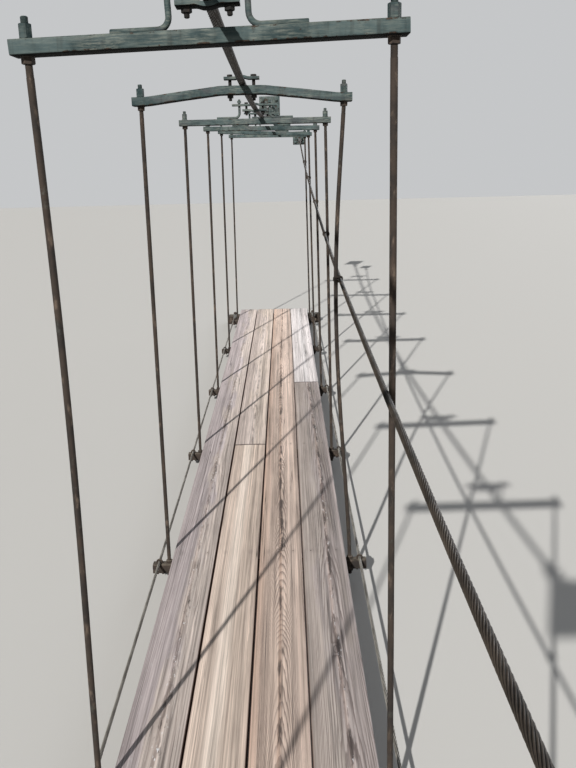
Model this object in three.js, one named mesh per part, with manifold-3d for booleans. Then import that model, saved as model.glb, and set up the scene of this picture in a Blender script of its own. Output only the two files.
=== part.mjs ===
// Rope suspension footbridge: one sagging main cable overhead, seven hanging frames, a deck of
// four plank lanes, a hand cable on the right, and a stiffening cable along each side of the deck.
// Millimetres, +Z up. X runs across the bridge, Y along it, away from the near anchor.
import * as THREE from "three";
import { mergeVertices } from "three/addons/utils/BufferGeometryUtils.js";
import Module from "manifold-3d";

const wasm = await Module();
wasm.setup();

// Gap kept between pieces that touch on the real bridge
const SEAT = 0.3;

// Frames and deck. Deck top is z = 0 and the deck's centre line is x = 0 while the pieces are made.
const FRAME_COUNT = 7;
const FRAME_PITCH = 1300;
const FIRST_FRAME = 380;
const DECK_LENGTH = 2 * FIRST_FRAME + (FRAME_COUNT - 1) * FRAME_PITCH;
const LANE_COUNT = 4;
const LANE_PITCH = 185;
const PLANK_GAP = 3;
const PLANK_THICKNESS = 45;
// The frame over which each lane's two planks meet, from the left lane to the right one
const LANE_JOINT_FRAME = [1, 3, 1, 4];

// Main cable: a parabola over the deck's centre line
const CABLE_DIAMETER = 26;
const CABLE_LOW_Y = 3930;
const CABLE_LOW_Z = 1880;
const CABLE_CURVE = 10.4e-6;
const CABLE_STEPS = 40;
// The parabola is followed at evenly spaced points, out to this far beyond the deck
const CABLE_POINTS = 12;
const CABLE_RUN_OUT = 600;

// Yoke bars that hang from the cable, as adjusted on site: height of each bar's middle line
const YOKE_Z = [1868, 1856, 1830, 1811, 1824, 1833, 1845];
// Angle by which each yoke hangs askew on the cable, in degrees, positive with its right end up
const YOKE_ASKEW = [0.6, 1.7, 0, 0, -0.6, -2.4, -0.5];
const YOKE_LENGTH = 796;
const YOKE_DEPTH = 60;
const YOKE_HEIGHT = 30;
// The yoke at the low point of the cable is cranked, so that its middle meets the cable
const CRANKED_FRAME = 2;
const CRANK_FLAT = 150;
const CRANK_RUN = 120;
// Share of the crank's rise that lies beyond its steep part
const CRANK_SHOULDER = 0.6;

// Bent rods that carry a yoke below its cable clamp
const STEM_DIAMETER = 13;
const STEM_HOLE = 17;
const STEM_X = 80;
const STEM_BEND = 24;
const STEM_LEG = 96;
// How far a welded rod sinks into its weld
const WELD = 1.5;

// Cable clamps
const CLAMP_TOP_LENGTH = 235;
const CLAMP_SHORT_LENGTH = 128;
const CLAMP_WIDTH = 40;
const CLAMP_THICKNESS = 10;
const CLAMP_BOLT_X = 43;
const CLAMP_BOLT_DIAMETER = 12;
const CLAMP_GAP = 0.5;
const BOLT_HEAD_HEIGHT = 8;
const BOLT_END = 6;
const SMALL_NUT_FLATS = 19;
const SMALL_NUT_HEIGHT = 11;

// Hanger rods, splayed from the yoke down to the cross bearers
const HANGER_DIAMETER = 16;
const HANGER_TOP_SPREAD = 370;
const HANGER_FOOT_X = 390;
const HANGER_HOLE = 21;
const NUT_FLATS = 24;
const TOP_NUT_HEIGHT = 28;
const FOOT_NUT_HEIGHT = 14;
const THREAD_END = 15;
// Two rods are bent: how far each one bows inwards. The bow is deepest a little above its middle.
const ROD_BOW = { hanger_left_1: 13, hanger_right_2: 42 };
const BOW_SKEW = 0.8;
const BOW_SHARPNESS = 1.5;
const BOW_POINTS = 12;
const BOW_STEPS = 28;

// Cross bearers under the deck, and the beam under each end of it
const BEARER_LENGTH = 920;
const BEARER_SIZE = 40;
const END_BEAM_LENGTH = 1000;
const END_BEAM_DEPTH = 120;
const END_BEAM_HEIGHT = 90;
const END_BEAM_INSET = 20;

// Side cables, laid on the ends of the cross bearers
const SIDE_CABLE_DIAMETER = 12;
const SIDE_CABLE_X = 432;
// Studs on the end beams, which hold the eyes of the side cables
const STUD_DIAMETER = 20;
const STUD_WASHER = { diameter: 34, height: 4 };
const STUD_NUT = { flats: 30, height: 14 };
const STUD_END = 4;

// Hand cable: it runs just inside the right hangers, but outside the one that it bows inwards.
const HAND_CABLE_OUTSIDE = 2;
// Height of the hand cable at each frame
const HAND_CABLE_DIAMETER = 16;
const HAND_CABLE_Z = [1096, 1104, 1167, 1219, 1325, 1458, 1585];
const HAND_CABLE_GAP = SEAT;
const HAND_ANCHOR_NEAR = { x: 362, z: 1120 };
const HAND_ANCHOR_FAR = { x: 340, z: 1850 };

// Wall anchors, with the backs of their plates at this distance beyond each end of the deck
const ANCHOR_DISTANCE = 1000;
const MAIN_ANCHOR = { plate: 240, thickness: 15, reach: 52, pin: 28, cheek: 12, bolt: 20 };
const HAND_ANCHOR = { plate: 150, thickness: 12, reach: 38, pin: 20, cheek: 10, bolt: 14 };
// Height of an anchor's cheeks and width of its pin's head, as multiples of the pin
const CHEEK_HEIGHT = 2.4;
const PIN_HEAD = 1.7;
const PIN_HEAD_HEIGHT = 12;
const CHEEK_PLAY = 2;
const CHEEK_SIDES = 16;
const ANCHOR_BOLT_HEAD = 15;
const ANCHOR_BOLT_END = 11;
// Inner radius of the eye at the end of each cable
const MAIN_EYE = 25;
const HAND_EYE = 18;
const SIDE_EYE = 13;
// Half the angle over which an eye's round crown opens towards its neck
const EYE_OPENING = 1.15;
// Length of an eye and of the hole in it, as multiples of its inner radius
const EYE_NECK = 3.4;
const EYE_HOLE = 2.1;
// Drop of the doubled-back tail below the rope, and its length, as multiples of the rope's diameter
const TAIL_DROP = 0.97;
const TAIL_LENGTH = 9;

const ROD_SIDES = 8;
const CABLE_SIDES = 8;
const HOLE_SIDES = 10;

const frameY = (i) => FIRST_FRAME + i * FRAME_PITCH;
const cableZ = (y) => CABLE_LOW_Z + CABLE_CURVE * (y - CABLE_LOW_Y) ** 2;
const cableTilt = (y) => Math.atan(2 * CABLE_CURVE * (y - CABLE_LOW_Y));
const askew = (i) => THREE.MathUtils.degToRad(YOKE_ASKEW[i]);
const cableAbove = (i) => cableZ(frameY(i)) - YOKE_Z[i];

// The middle of a yoke bar, which swings askew about the cable above it
function yokeMiddle(i) {
  const x = cableAbove(i) * Math.sin(askew(i));
  const z = cableZ(frameY(i)) - cableAbove(i) * Math.cos(askew(i));
  return new THREE.Vector3(x, frameY(i), z);
}

// A closed geometry as a solid, with its faces turned outwards
function solid(geometry) {
  const plain = geometry.index ? geometry.toNonIndexed() : geometry.clone();
  plain.deleteAttribute("normal");
  plain.deleteAttribute("uv");
  const merged = mergeVertices(plain, 1e-3);
  const vertProperties = new Float32Array(merged.attributes.position.array);
  const corners = Array.from(merged.index.array);
  const triVerts = [];
  for (let t = 0; t < corners.length; t += 3) {
    const [a, b, c] = corners.slice(t, t + 3);
    if (a !== b && b !== c && c !== a) triVerts.push(a, b, c);
  }
  if (signedVolume(vertProperties, triVerts) < 0) triVerts.reverse();
  const mesh = new wasm.Mesh({ numProp: 3, vertProperties, triVerts: new Uint32Array(triVerts) });
  return new wasm.Manifold(mesh);
}

function signedVolume(points, triangles) {
  const corner = (i) => new THREE.Vector3().fromArray(points, 3 * triangles[i]);
  let volume = 0;
  for (let t = 0; t < triangles.length; t += 3) {
    volume += corner(t).dot(corner(t + 1).cross(corner(t + 2))) / 6;
  }
  return volume;
}

function geometryOf(body) {
  const { vertProperties, triVerts } = body.getMesh();
  const geometry = new THREE.BufferGeometry();
  geometry.setAttribute("position", new THREE.BufferAttribute(new Float32Array(vertProperties), 3));
  geometry.setIndex(new THREE.BufferAttribute(new Uint32Array(triVerts), 1));
  geometry.computeVertexNormals();
  return geometry;
}

const join = (bodies) => bodies.reduce((whole, body) => whole.add(body));
const cut = (body, tools) => tools.reduce((rest, tool) => rest.subtract(tool), body);

// A box from its size and the place of its middle
function box(size, middle) {
  return solid(new THREE.BoxGeometry(...size).translate(...middle));
}

// An upright round or hexagonal bar from z = low to z = high
function upright(diameter, x, y, low, high, sides = ROD_SIDES) {
  const bar = new THREE.CylinderGeometry(diameter / 2, diameter / 2, high - low, sides);
  return solid(bar.rotateX(Math.PI / 2).translate(x, y, (low + high) / 2));
}

// A hexagonal nut, measured across its flats
function nut(flats, x, y, low, high) {
  return upright(flats / Math.cos(Math.PI / 6), x, y, low, high, 6);
}

// A bar across the bridge, from x = left to x = right
function crossBar(diameter, y, z, left, right, sides = HOLE_SIDES) {
  const bar = new THREE.CylinderGeometry(diameter / 2, diameter / 2, right - left, sides);
  return solid(bar.rotateZ(Math.PI / 2).translate((left + right) / 2, y, z));
}

// A round tube along a path
function tube(path, diameter, steps, sides = CABLE_SIDES) {
  const section = new THREE.Shape();
  for (let k = 0; k < sides; k += 1) {
    const angle = (2 * Math.PI * (k + 0.5)) / sides;
    const point = [(diameter / 2) * Math.cos(angle), (diameter / 2) * Math.sin(angle)];
    if (k === 0) section.moveTo(...point);
    else section.lineTo(...point);
  }
  section.closePath();
  return solid(new THREE.ExtrudeGeometry(section, { extrudePath: path, steps }));
}

const meshes = [];

// One named piece, with its colour, gloss and place
function piece(name, body, finish, place = {}) {
  const mesh = new THREE.Mesh(geometryOf(body), new THREE.MeshStandardMaterial(finish));
  mesh.name = name;
  mesh.position.set(...(place.position ?? [0, 0, 0]));
  mesh.rotation.set(...(place.rotation ?? [0, 0, 0]));
  meshes.push(mesh);
  return mesh;
}

const GREEN_PAINT = { color: 0x44645f, roughness: 0.55, metalness: 0.3 };
const RUSTY_STEEL = { color: 0x5d4a3c, roughness: 0.75, metalness: 0.5 };
const WIRE_ROPE = { color: 0x46464b, roughness: 0.6, metalness: 0.7 };
const WEATHERED_WOOD = { color: 0x7d7371, roughness: 0.9, metalness: 0.0 };

// Deck planks, two to a lane, butted over a cross bearer
function addDeck() {
  for (let lane = 0; lane < LANE_COUNT; lane += 1) {
    const x = (lane - (LANE_COUNT - 1) / 2) * LANE_PITCH;
    const joint = frameY(LANE_JOINT_FRAME[lane]);
    const ends = [0, joint - PLANK_GAP / 2, joint + PLANK_GAP / 2, DECK_LENGTH];
    for (const [part, start, end] of [["near", ends[0], ends[1]], ["far", ends[2], ends[3]]]) {
      const size = [LANE_PITCH - PLANK_GAP, end - start, PLANK_THICKNESS];
      const plank = box(size, [0, 0, 0]);
      const position = [x, (start + end) / 2, -PLANK_THICKNESS / 2];
      piece(`deck_plank_${lane + 1}_${part}`, plank, WEATHERED_WOOD, { position });
    }
  }
}

const BEARER_TOP = -PLANK_THICKNESS - SEAT;

// Square cross bearers, drilled for the hanger rods
function addBearer(i) {
  const beam = box([BEARER_LENGTH, BEARER_SIZE, BEARER_SIZE], [0, 0, -BEARER_SIZE / 2]);
  const holes = [-1, 1].map((side) =>
    upright(HANGER_HOLE, side * HANGER_FOOT_X, 0, -BEARER_SIZE - 1, 1, HOLE_SIDES));
  piece(`cross_bearer_${i}`, cut(beam, holes), RUSTY_STEEL, { position: [0, frameY(i), BEARER_TOP] });
}

// The front outline of a yoke bar, straight or cranked up in its middle, about the bar's own middle line
function yokeOutline(crank) {
  const half = YOKE_LENGTH / 2;
  const flat = CRANK_FLAT / 2;
  const seat = HANGER_TOP_SPREAD - NUT_FLATS;
  const bend = flat + CRANK_RUN;
  const line = crank === 0
    ? [[-half, 0], [half, 0]]
    : [[-half, 0], [-seat, 0], [-bend, crank * CRANK_SHOULDER], [-flat, crank],
      [flat, crank], [bend, crank * CRANK_SHOULDER], [seat, 0], [half, 0]];
  const top = line.map(([x, z]) => new THREE.Vector2(x, z + YOKE_HEIGHT / 2));
  const bottom = line.map(([x, z]) => new THREE.Vector2(x, z - YOKE_HEIGHT / 2)).reverse();
  return new THREE.Shape([...bottom, ...top]);
}

// A rod that stands on the yoke bar, turns outwards at its foot and is welded along the bar
function stem(side, height) {
  const footZ = YOKE_HEIGHT / 2 + STEM_DIAMETER / 2 - WELD;
  const place = (along, up) => new THREE.Vector3(side * (STEM_X + along), 0, footZ + up);
  const bend = new THREE.QuadraticBezierCurve3(place(0, STEM_BEND), place(0, 0), place(STEM_BEND, 0));
  const shank = new THREE.LineCurve3(place(0, height - footZ), place(0, STEM_BEND - 1));
  const leg = new THREE.LineCurve3(place(STEM_BEND - 1, 0), place(STEM_BEND + STEM_LEG, 0));
  return join([
    tube(shank, STEM_DIAMETER, 1, ROD_SIDES),
    tube(bend, STEM_DIAMETER, 5, ROD_SIDES),
    tube(leg, STEM_DIAMETER, 1, ROD_SIDES),
  ]);
}

// Distance from the cable's middle line to a clamp face that meets it, level or leaning with it
function gripOf(i) {
  const lean = i === CRANKED_FRAME ? Math.abs(Math.tan(cableTilt(frameY(i)))) : 0;
  const flat = (CABLE_DIAMETER / 2) * Math.cos(Math.PI / CABLE_SIDES);
  return flat + CLAMP_GAP + (YOKE_DEPTH / 2) * lean;
}

function addYoke(i) {
  const crank = i === CRANKED_FRAME ? cableAbove(i) - gripOf(i) - YOKE_HEIGHT / 2 : 0;
  const bar = new THREE.ExtrudeGeometry(yokeOutline(crank), { depth: YOKE_DEPTH, bevelEnabled: false });
  const blank = solid(bar.rotateX(Math.PI / 2).translate(0, YOKE_DEPTH / 2, 0));
  const reach = YOKE_HEIGHT + crank;
  const holes = [-1, 1].map((side) =>
    upright(HANGER_HOLE, side * HANGER_TOP_SPREAD, 0, -reach, reach, HOLE_SIDES));
  if (i === CRANKED_FRAME) {
    const hole = CLAMP_BOLT_DIAMETER + 2;
    for (const side of [-1, 1]) {
      holes.push(upright(hole, side * CLAMP_BOLT_X, 0, -reach, 2 * reach, HOLE_SIDES));
    }
  }
  const parts = [cut(blank, holes)];
  if (i !== CRANKED_FRAME) {
    const tilt = Math.abs(cableTilt(frameY(i)));
    const plateTop = (gripOf(i) + CLAMP_THICKNESS) / Math.cos(tilt);
    // The clamp plate leans with the cable, so the nut on top stands clear of its higher edge
    const rise = (SMALL_NUT_FLATS / Math.sqrt(3)) * Math.tan(tilt);
    const nutLow = cableAbove(i) + plateTop + rise + SEAT;
    for (const side of [-1, 1]) {
      parts.push(stem(side, nutLow + SMALL_NUT_HEIGHT + BOLT_END));
      parts.push(nut(SMALL_NUT_FLATS, side * STEM_X, 0, nutLow, nutLow + SMALL_NUT_HEIGHT));
    }
  }
  piece(`yoke_${i}`, join(parts), GREEN_PAINT, {
    position: yokeMiddle(i).toArray(),
    rotation: [0, -askew(i), 0],
  });
}

// A bolt through a clamp, with its head above and its nut below
function clampBolt(side, headLow, nutHigh) {
  const x = side * CLAMP_BOLT_X;
  return [
    upright(CLAMP_BOLT_DIAMETER, x, 0, nutHigh - SMALL_NUT_HEIGHT - BOLT_END, headLow + BOLT_HEAD_HEIGHT / 2),
    nut(SMALL_NUT_FLATS, x, 0, headLow, headLow + BOLT_HEAD_HEIGHT),
    nut(SMALL_NUT_FLATS, x, 0, nutHigh - SMALL_NUT_HEIGHT, nutHigh),
  ];
}

// The clamp that grips the main cable. It is made about the cable's middle line and leans with it.
function addClamp(i) {
  const grip = gripOf(i);
  const onYoke = i === CRANKED_FRAME;
  const length = onYoke ? CLAMP_SHORT_LENGTH : CLAMP_TOP_LENGTH;
  const top = box([length, CLAMP_WIDTH, CLAMP_THICKNESS], [0, 0, grip + CLAMP_THICKNESS / 2]);
  const parts = [];
  if (onYoke) {
    parts.push(top);
  } else {
    // The holes are set off along the cable, so that the upright rods pass through the leaning plate
    const offset = (grip + CLAMP_THICKNESS / 2) * Math.tan(cableTilt(frameY(i)));
    const holes = [-1, 1].map((side) =>
      upright(STEM_HOLE, side * STEM_X, offset, grip - 2, grip + CLAMP_THICKNESS + 2, HOLE_SIDES));
    parts.push(cut(top, holes));
    const lowerAt = [0, 0, -grip - CLAMP_THICKNESS / 2];
    parts.push(box([CLAMP_SHORT_LENGTH, CLAMP_WIDTH, CLAMP_THICKNESS], lowerAt));
  }
  const headLow = grip + CLAMP_THICKNESS;
  const nutHigh = onYoke ? -grip - YOKE_HEIGHT - 2 * SEAT : -grip - CLAMP_THICKNESS;
  for (const side of [-1, 1]) parts.push(...clampBolt(side, headLow - SEAT, nutHigh));
  const y = frameY(i);
  piece(`cable_clamp_${i}`, join(parts), GREEN_PAINT, {
    position: [0, y, cableZ(y)],
    rotation: [onYoke ? 0 : cableTilt(y), -askew(i), 0],
  });
}

// The ends of a hanger rod's line through its yoke and its bearer
function hangerLine(side, i) {
  const arm = new THREE.Vector3(Math.cos(askew(i)), 0, Math.sin(askew(i)));
  const top = yokeMiddle(i).addScaledVector(arm, side * HANGER_TOP_SPREAD);
  const foot = new THREE.Vector3(side * HANGER_FOOT_X, frameY(i), BEARER_TOP - BEARER_SIZE / 2);
  return { top, foot };
}

const hangerName = (side, i) => `hanger_${side < 0 ? "left" : "right"}_${i}`;

// How far a hanger stands in from its straight line, at a share of its length below its top
function bowOf(side, i, share) {
  const depth = ROD_BOW[hangerName(side, i)] ?? 0;
  return depth * Math.sin(Math.PI * share ** BOW_SKEW) ** BOW_SHARPNESS;
}

// The rod of a hanger, made upright about the middle of its span
function hangerRod(side, i, span, low, high) {
  if (!(hangerName(side, i) in ROD_BOW)) return upright(HANGER_DIAMETER, 0, 0, low, high);
  const points = [new THREE.Vector3(0, 0, high)];
  for (let k = 0; k <= BOW_POINTS; k += 1) {
    const share = k / BOW_POINTS;
    points.push(new THREE.Vector3(-side * bowOf(side, i, share), 0, span * (0.5 - share)));
  }
  points.push(new THREE.Vector3(0, 0, low));
  const path = new THREE.CatmullRomCurve3(points, false, "centripetal");
  return tube(path, HANGER_DIAMETER, BOW_STEPS, ROD_SIDES);
}

// A hanger rod with a tall nut over the yoke and a nut under the bearer, made upright about its middle
function addHanger(side, i) {
  const { top, foot } = hangerLine(side, i);
  const span = top.distanceTo(foot);
  const lean = Math.atan2(top.x - foot.x, top.z - foot.z);
  const corner = NUT_FLATS / Math.sqrt(3);
  const topNut = span / 2 + YOKE_HEIGHT / 2 + corner * Math.abs(Math.sin(lean + askew(i))) + SEAT;
  const footNut = -span / 2 - BEARER_SIZE / 2 - corner * Math.abs(Math.sin(lean)) - SEAT;
  const rodLow = footNut - FOOT_NUT_HEIGHT - THREAD_END;
  const rodHigh = topNut + TOP_NUT_HEIGHT + THREAD_END;
  const body = join([
    hangerRod(side, i, span, rodLow, rodHigh),
    nut(NUT_FLATS, 0, 0, topNut, topNut + TOP_NUT_HEIGHT),
    nut(NUT_FLATS, 0, 0, footNut - FOOT_NUT_HEIGHT, footNut),
  ]);
  piece(hangerName(side, i), body, RUSTY_STEEL, {
    position: [(top.x + foot.x) / 2, frameY(i), (top.z + foot.z) / 2],
    rotation: [0, lean, 0],
  });
}

// The eye at the end of a cable, where the rope turns round a thimble, with its doubled-back tail.
// The crown's middle is the origin and the rope leaves along +Y; the eye is flat in the plane of Y and Z.
function eye(inner, diameter) {
  const outer = inner + diameter;
  const neck = EYE_NECK * inner;
  const outline = new THREE.Shape();
  outline.moveTo(neck, diameter * 0.5);
  outline.lineTo(outer * Math.cos(EYE_OPENING), outer * Math.sin(EYE_OPENING));
  outline.absarc(0, 0, outer, EYE_OPENING, 2 * Math.PI - EYE_OPENING, false);
  outline.lineTo(neck, -diameter * 1.5);
  const hole = new THREE.Path();
  hole.moveTo(EYE_HOLE * inner, 0);
  hole.lineTo(inner * Math.cos(EYE_OPENING), inner * Math.sin(EYE_OPENING));
  hole.absarc(0, 0, inner, EYE_OPENING, 2 * Math.PI - EYE_OPENING, false);
  outline.holes.push(hole);
  const thick = { depth: diameter, bevelEnabled: false, curveSegments: 12 };
  const flat = new THREE.ExtrudeGeometry(outline, thick);
  // Shape X becomes +Y and shape Y becomes +Z
  const along = new THREE.Vector3(0, 1, 0);
  const up = new THREE.Vector3(0, 0, 1);
  const across = new THREE.Vector3(1, 0, 0);
  flat.translate(0, 0, -diameter / 2);
  flat.applyMatrix4(new THREE.Matrix4().makeBasis(along, up, across));
  const start = new THREE.Vector3(0, neck - diameter, -diameter * TAIL_DROP);
  const end = new THREE.Vector3(0, neck + TAIL_LENGTH * diameter, -diameter * TAIL_DROP);
  const tail = tube(new THREE.LineCurve3(start, end), diameter, 1);
  return { body: join([solid(flat), tail]), neck };
}

// Where a cable's eye sits on a pin: the pin bears on the inside of the eye's crown, on its flats
const CROWN_FLATS = 0.98;
const eyeOffset = (inner, pin) => inner * CROWN_FLATS - pin / 2 - SEAT;

// An eye turned to face along a direction, at a place
function placedEye(eyeBody, at, direction, roll = 0) {
  const y = direction.clone().normalize();
  const up = new THREE.Vector3(0, 0, 1);
  const x = new THREE.Vector3().crossVectors(y, up).normalize();
  const z = new THREE.Vector3().crossVectors(x, y);
  const frame = new THREE.Matrix4().makeBasis(x, y, z);
  frame.multiply(new THREE.Matrix4().makeRotationY(roll));
  frame.setPosition(at);
  return eyeBody.transform(frame.elements);
}

// A cable with an eye at each end. The points run from one pin to the other.
function eyedCable(pins, middlePoints, diameter, inner, pin, steps, roll = 0) {
  const { body, neck } = eye(inner, diameter);
  const points = [pins[0], ...middlePoints, pins[1]];
  const ends = [
    { at: points[0], towards: points[1] },
    { at: points[points.length - 1], towards: points[points.length - 2] },
  ];
  const eyes = [];
  const tips = [];
  for (const { at, towards } of ends) {
    const direction = towards.clone().sub(at).normalize();
    const middle = at.clone().addScaledVector(direction, eyeOffset(inner, pin));
    eyes.push(placedEye(body, middle, direction, roll));
    tips.push(middle.clone().addScaledVector(direction, neck - diameter));
  }
  const run = [tips[0], ...middlePoints, tips[1]];
  const path = run.length === 2
    ? new THREE.LineCurve3(...run)
    : new THREE.CatmullRomCurve3(run, false, "centripetal");
  return join([tube(path, diameter, steps), ...eyes]);
}

// Distance of a cable's end pin beyond the end of the deck
const pinBeyond = (anchor) => ANCHOR_DISTANCE - anchor.thickness - anchor.reach;

function addMainCable() {
  const pins = [-pinBeyond(MAIN_ANCHOR), DECK_LENGTH + pinBeyond(MAIN_ANCHOR)]
    .map((y) => new THREE.Vector3(0, y, cableZ(y)));
  const middles = [];
  for (let k = 0; k <= CABLE_POINTS; k += 1) {
    const y = THREE.MathUtils.lerp(-CABLE_RUN_OUT, DECK_LENGTH + CABLE_RUN_OUT, k / CABLE_POINTS);
    middles.push(new THREE.Vector3(0, y, cableZ(y)));
  }
  const body = eyedCable(pins, middles, CABLE_DIAMETER, MAIN_EYE, MAIN_ANCHOR.pin, CABLE_STEPS);
  piece("main_cable", body, WIRE_ROPE);
  return pins;
}

// The middle of the right hanger's rod at a height
function rightHangerX(i, z) {
  const { top, foot } = hangerLine(1, i);
  const share = (top.z - z) / (top.z - foot.z);
  return THREE.MathUtils.lerp(top.x, foot.x, share) - bowOf(1, i, share);
}

function addHandCable() {
  const near = new THREE.Vector3(HAND_ANCHOR_NEAR.x, -pinBeyond(HAND_ANCHOR), HAND_ANCHOR_NEAR.z);
  const far = new THREE.Vector3(HAND_ANCHOR_FAR.x, DECK_LENGTH + pinBeyond(HAND_ANCHOR), HAND_ANCHOR_FAR.z);
  const beside = (HANGER_DIAMETER + HAND_CABLE_DIAMETER) / 2 + HAND_CABLE_GAP;
  const middles = HAND_CABLE_Z.map((z, i) => {
    const shift = i === HAND_CABLE_OUTSIDE ? beside : -beside;
    return new THREE.Vector3(rightHangerX(i, z) + shift, frameY(i), z);
  });
  const pins = [near, far];
  const body = eyedCable(pins, middles, HAND_CABLE_DIAMETER, HAND_EYE, HAND_ANCHOR.pin, CABLE_STEPS);
  piece("hand_cable", body, WIRE_ROPE);
  return pins;
}

const SIDE_CABLE_Z = BEARER_TOP + SEAT + SIDE_CABLE_DIAMETER / 2;
const sidePinY = [END_BEAM_INSET + END_BEAM_DEPTH / 2, DECK_LENGTH - END_BEAM_INSET - END_BEAM_DEPTH / 2];

// Side cables, with their eyes laid flat on the end beams
function addSideCable(side) {
  const pins = sidePinY.map((y) => new THREE.Vector3(side * SIDE_CABLE_X, y, SIDE_CABLE_Z));
  const body = eyedCable(pins, [], SIDE_CABLE_DIAMETER, SIDE_EYE, STUD_DIAMETER, 1, Math.PI / 2);
  piece(`side_cable_${side < 0 ? "left" : "right"}`, body, WIRE_ROPE);
}

// The beam under an end of the deck, with a stud for the eye of each side cable
function addEndBeam(name, y) {
  const parts = [box([END_BEAM_LENGTH, END_BEAM_DEPTH, END_BEAM_HEIGHT], [0, 0, -END_BEAM_HEIGHT / 2])];
  const washerLow = 2 * SEAT + SIDE_CABLE_DIAMETER;
  const nutLow = washerLow + STUD_WASHER.height;
  const nutHigh = nutLow + STUD_NUT.height;
  for (const side of [-1, 1]) {
    const x = side * SIDE_CABLE_X;
    parts.push(upright(STUD_DIAMETER, x, 0, -STUD_END, nutHigh + STUD_END, HOLE_SIDES));
    parts.push(upright(STUD_WASHER.diameter, x, 0, washerLow, nutLow, HOLE_SIDES));
    parts.push(nut(STUD_NUT.flats, x, 0, nutLow, nutHigh));
  }
  piece(name, join(parts), RUSTY_STEEL, { position: [0, y, BEARER_TOP] });
}

// A wall anchor: a bolted plate with two cheeks and the pin that the cable's eye hangs on.
// It is made about the middle of the pin, with its plate towards -Y.
function addAnchor(name, anchor, cableDiameter, pinAt, facing) {
  const back = -anchor.reach - anchor.thickness;
  const parts = [box([anchor.plate, anchor.thickness, anchor.plate], [0, back + anchor.thickness / 2, 0])];
  const inside = cableDiameter / 2 + CHEEK_PLAY;
  const outside = inside + anchor.cheek;
  const cheekHeight = CHEEK_HEIGHT * anchor.pin;
  const length = anchor.reach + 1;
  for (const side of [-1, 1]) {
    const x = side * (inside + anchor.cheek / 2);
    parts.push(box([anchor.cheek, length, cheekHeight], [x, -length / 2, 0]));
    parts.push(crossBar(cheekHeight, 0, 0, x - anchor.cheek / 2, x + anchor.cheek / 2, CHEEK_SIDES));
  }
  const pinEnd = outside + PIN_HEAD_HEIGHT;
  parts.push(crossBar(anchor.pin, 0, 0, -pinEnd - 2, pinEnd + 2));
  parts.push(crossBar(anchor.pin * PIN_HEAD, 0, 0, -pinEnd, 1 - outside, 6));
  parts.push(crossBar(anchor.pin * PIN_HEAD, 0, 0, outside - 1, pinEnd, 6));
  const boltAt = anchor.plate / 2 - 2 * anchor.bolt;
  const shankLength = ANCHOR_BOLT_HEAD + ANCHOR_BOLT_END;
  for (const x of [-boltAt, boltAt]) {
    for (const z of [-boltAt, boltAt]) {
      const head = new THREE.CylinderGeometry(anchor.bolt, anchor.bolt, ANCHOR_BOLT_HEAD + 1, 6);
      const shank = new THREE.CylinderGeometry(anchor.bolt / 2, anchor.bolt / 2, shankLength, ROD_SIDES);
      parts.push(solid(head.translate(x, (ANCHOR_BOLT_HEAD - 1) / 2 - anchor.reach, z)));
      parts.push(solid(shank.translate(x, shankLength / 2 - anchor.reach, z)));
    }
  }
  piece(name, join(parts), GREEN_PAINT, {
    position: pinAt.toArray(),
    rotation: [0, 0, facing < 0 ? Math.PI : 0],
  });
}

addDeck();
for (let i = 0; i < FRAME_COUNT; i += 1) {
  addBearer(i);
  addYoke(i);
  addClamp(i);
  addHanger(-1, i);
  addHanger(1, i);
}
const mainPins = addMainCable();
const handPins = addHandCable();
for (const side of [-1, 1]) addSideCable(side);
addEndBeam("end_beam_near", sidePinY[0]);
addEndBeam("end_beam_far", sidePinY[1]);
addAnchor("main_anchor_near", MAIN_ANCHOR, CABLE_DIAMETER, mainPins[0], 1);
addAnchor("main_anchor_far", MAIN_ANCHOR, CABLE_DIAMETER, mainPins[1], -1);
addAnchor("hand_anchor_near", HAND_ANCHOR, HAND_CABLE_DIAMETER, handPins[0], 1);
addAnchor("hand_anchor_far", HAND_ANCHOR, HAND_CABLE_DIAMETER, handPins[1], -1);

// The bridge's own frame has its origin in the middle of the near main anchor's back face
const bridge = new THREE.Group();
bridge.add(...meshes);
bridge.position.set(0, ANCHOR_DISTANCE, -mainPins[0].z);
const whole = new THREE.Group();
whole.add(bridge);

export default whole;
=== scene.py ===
# %% [markdown]
# # A rope footbridge
#
# The bridge hangs from one wire rope. Seven frames hang from the rope, each of them a clamp, a yoke bar,
# two hanger rods and a bearer, and four lanes of planks lie on the bearers. A hand rope runs inside the
# right hangers and a thinner rope ties the bearer ends together on each side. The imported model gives
# every place and size. This notebook makes each piece again with its real edges, threads, strands and
# welds, and gives it a worn finish.

# %% Load the frame
import math
from contextlib import contextmanager

import bmesh
import bpy
import numpy as np
from mathutils import Matrix, Vector, noise


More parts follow.
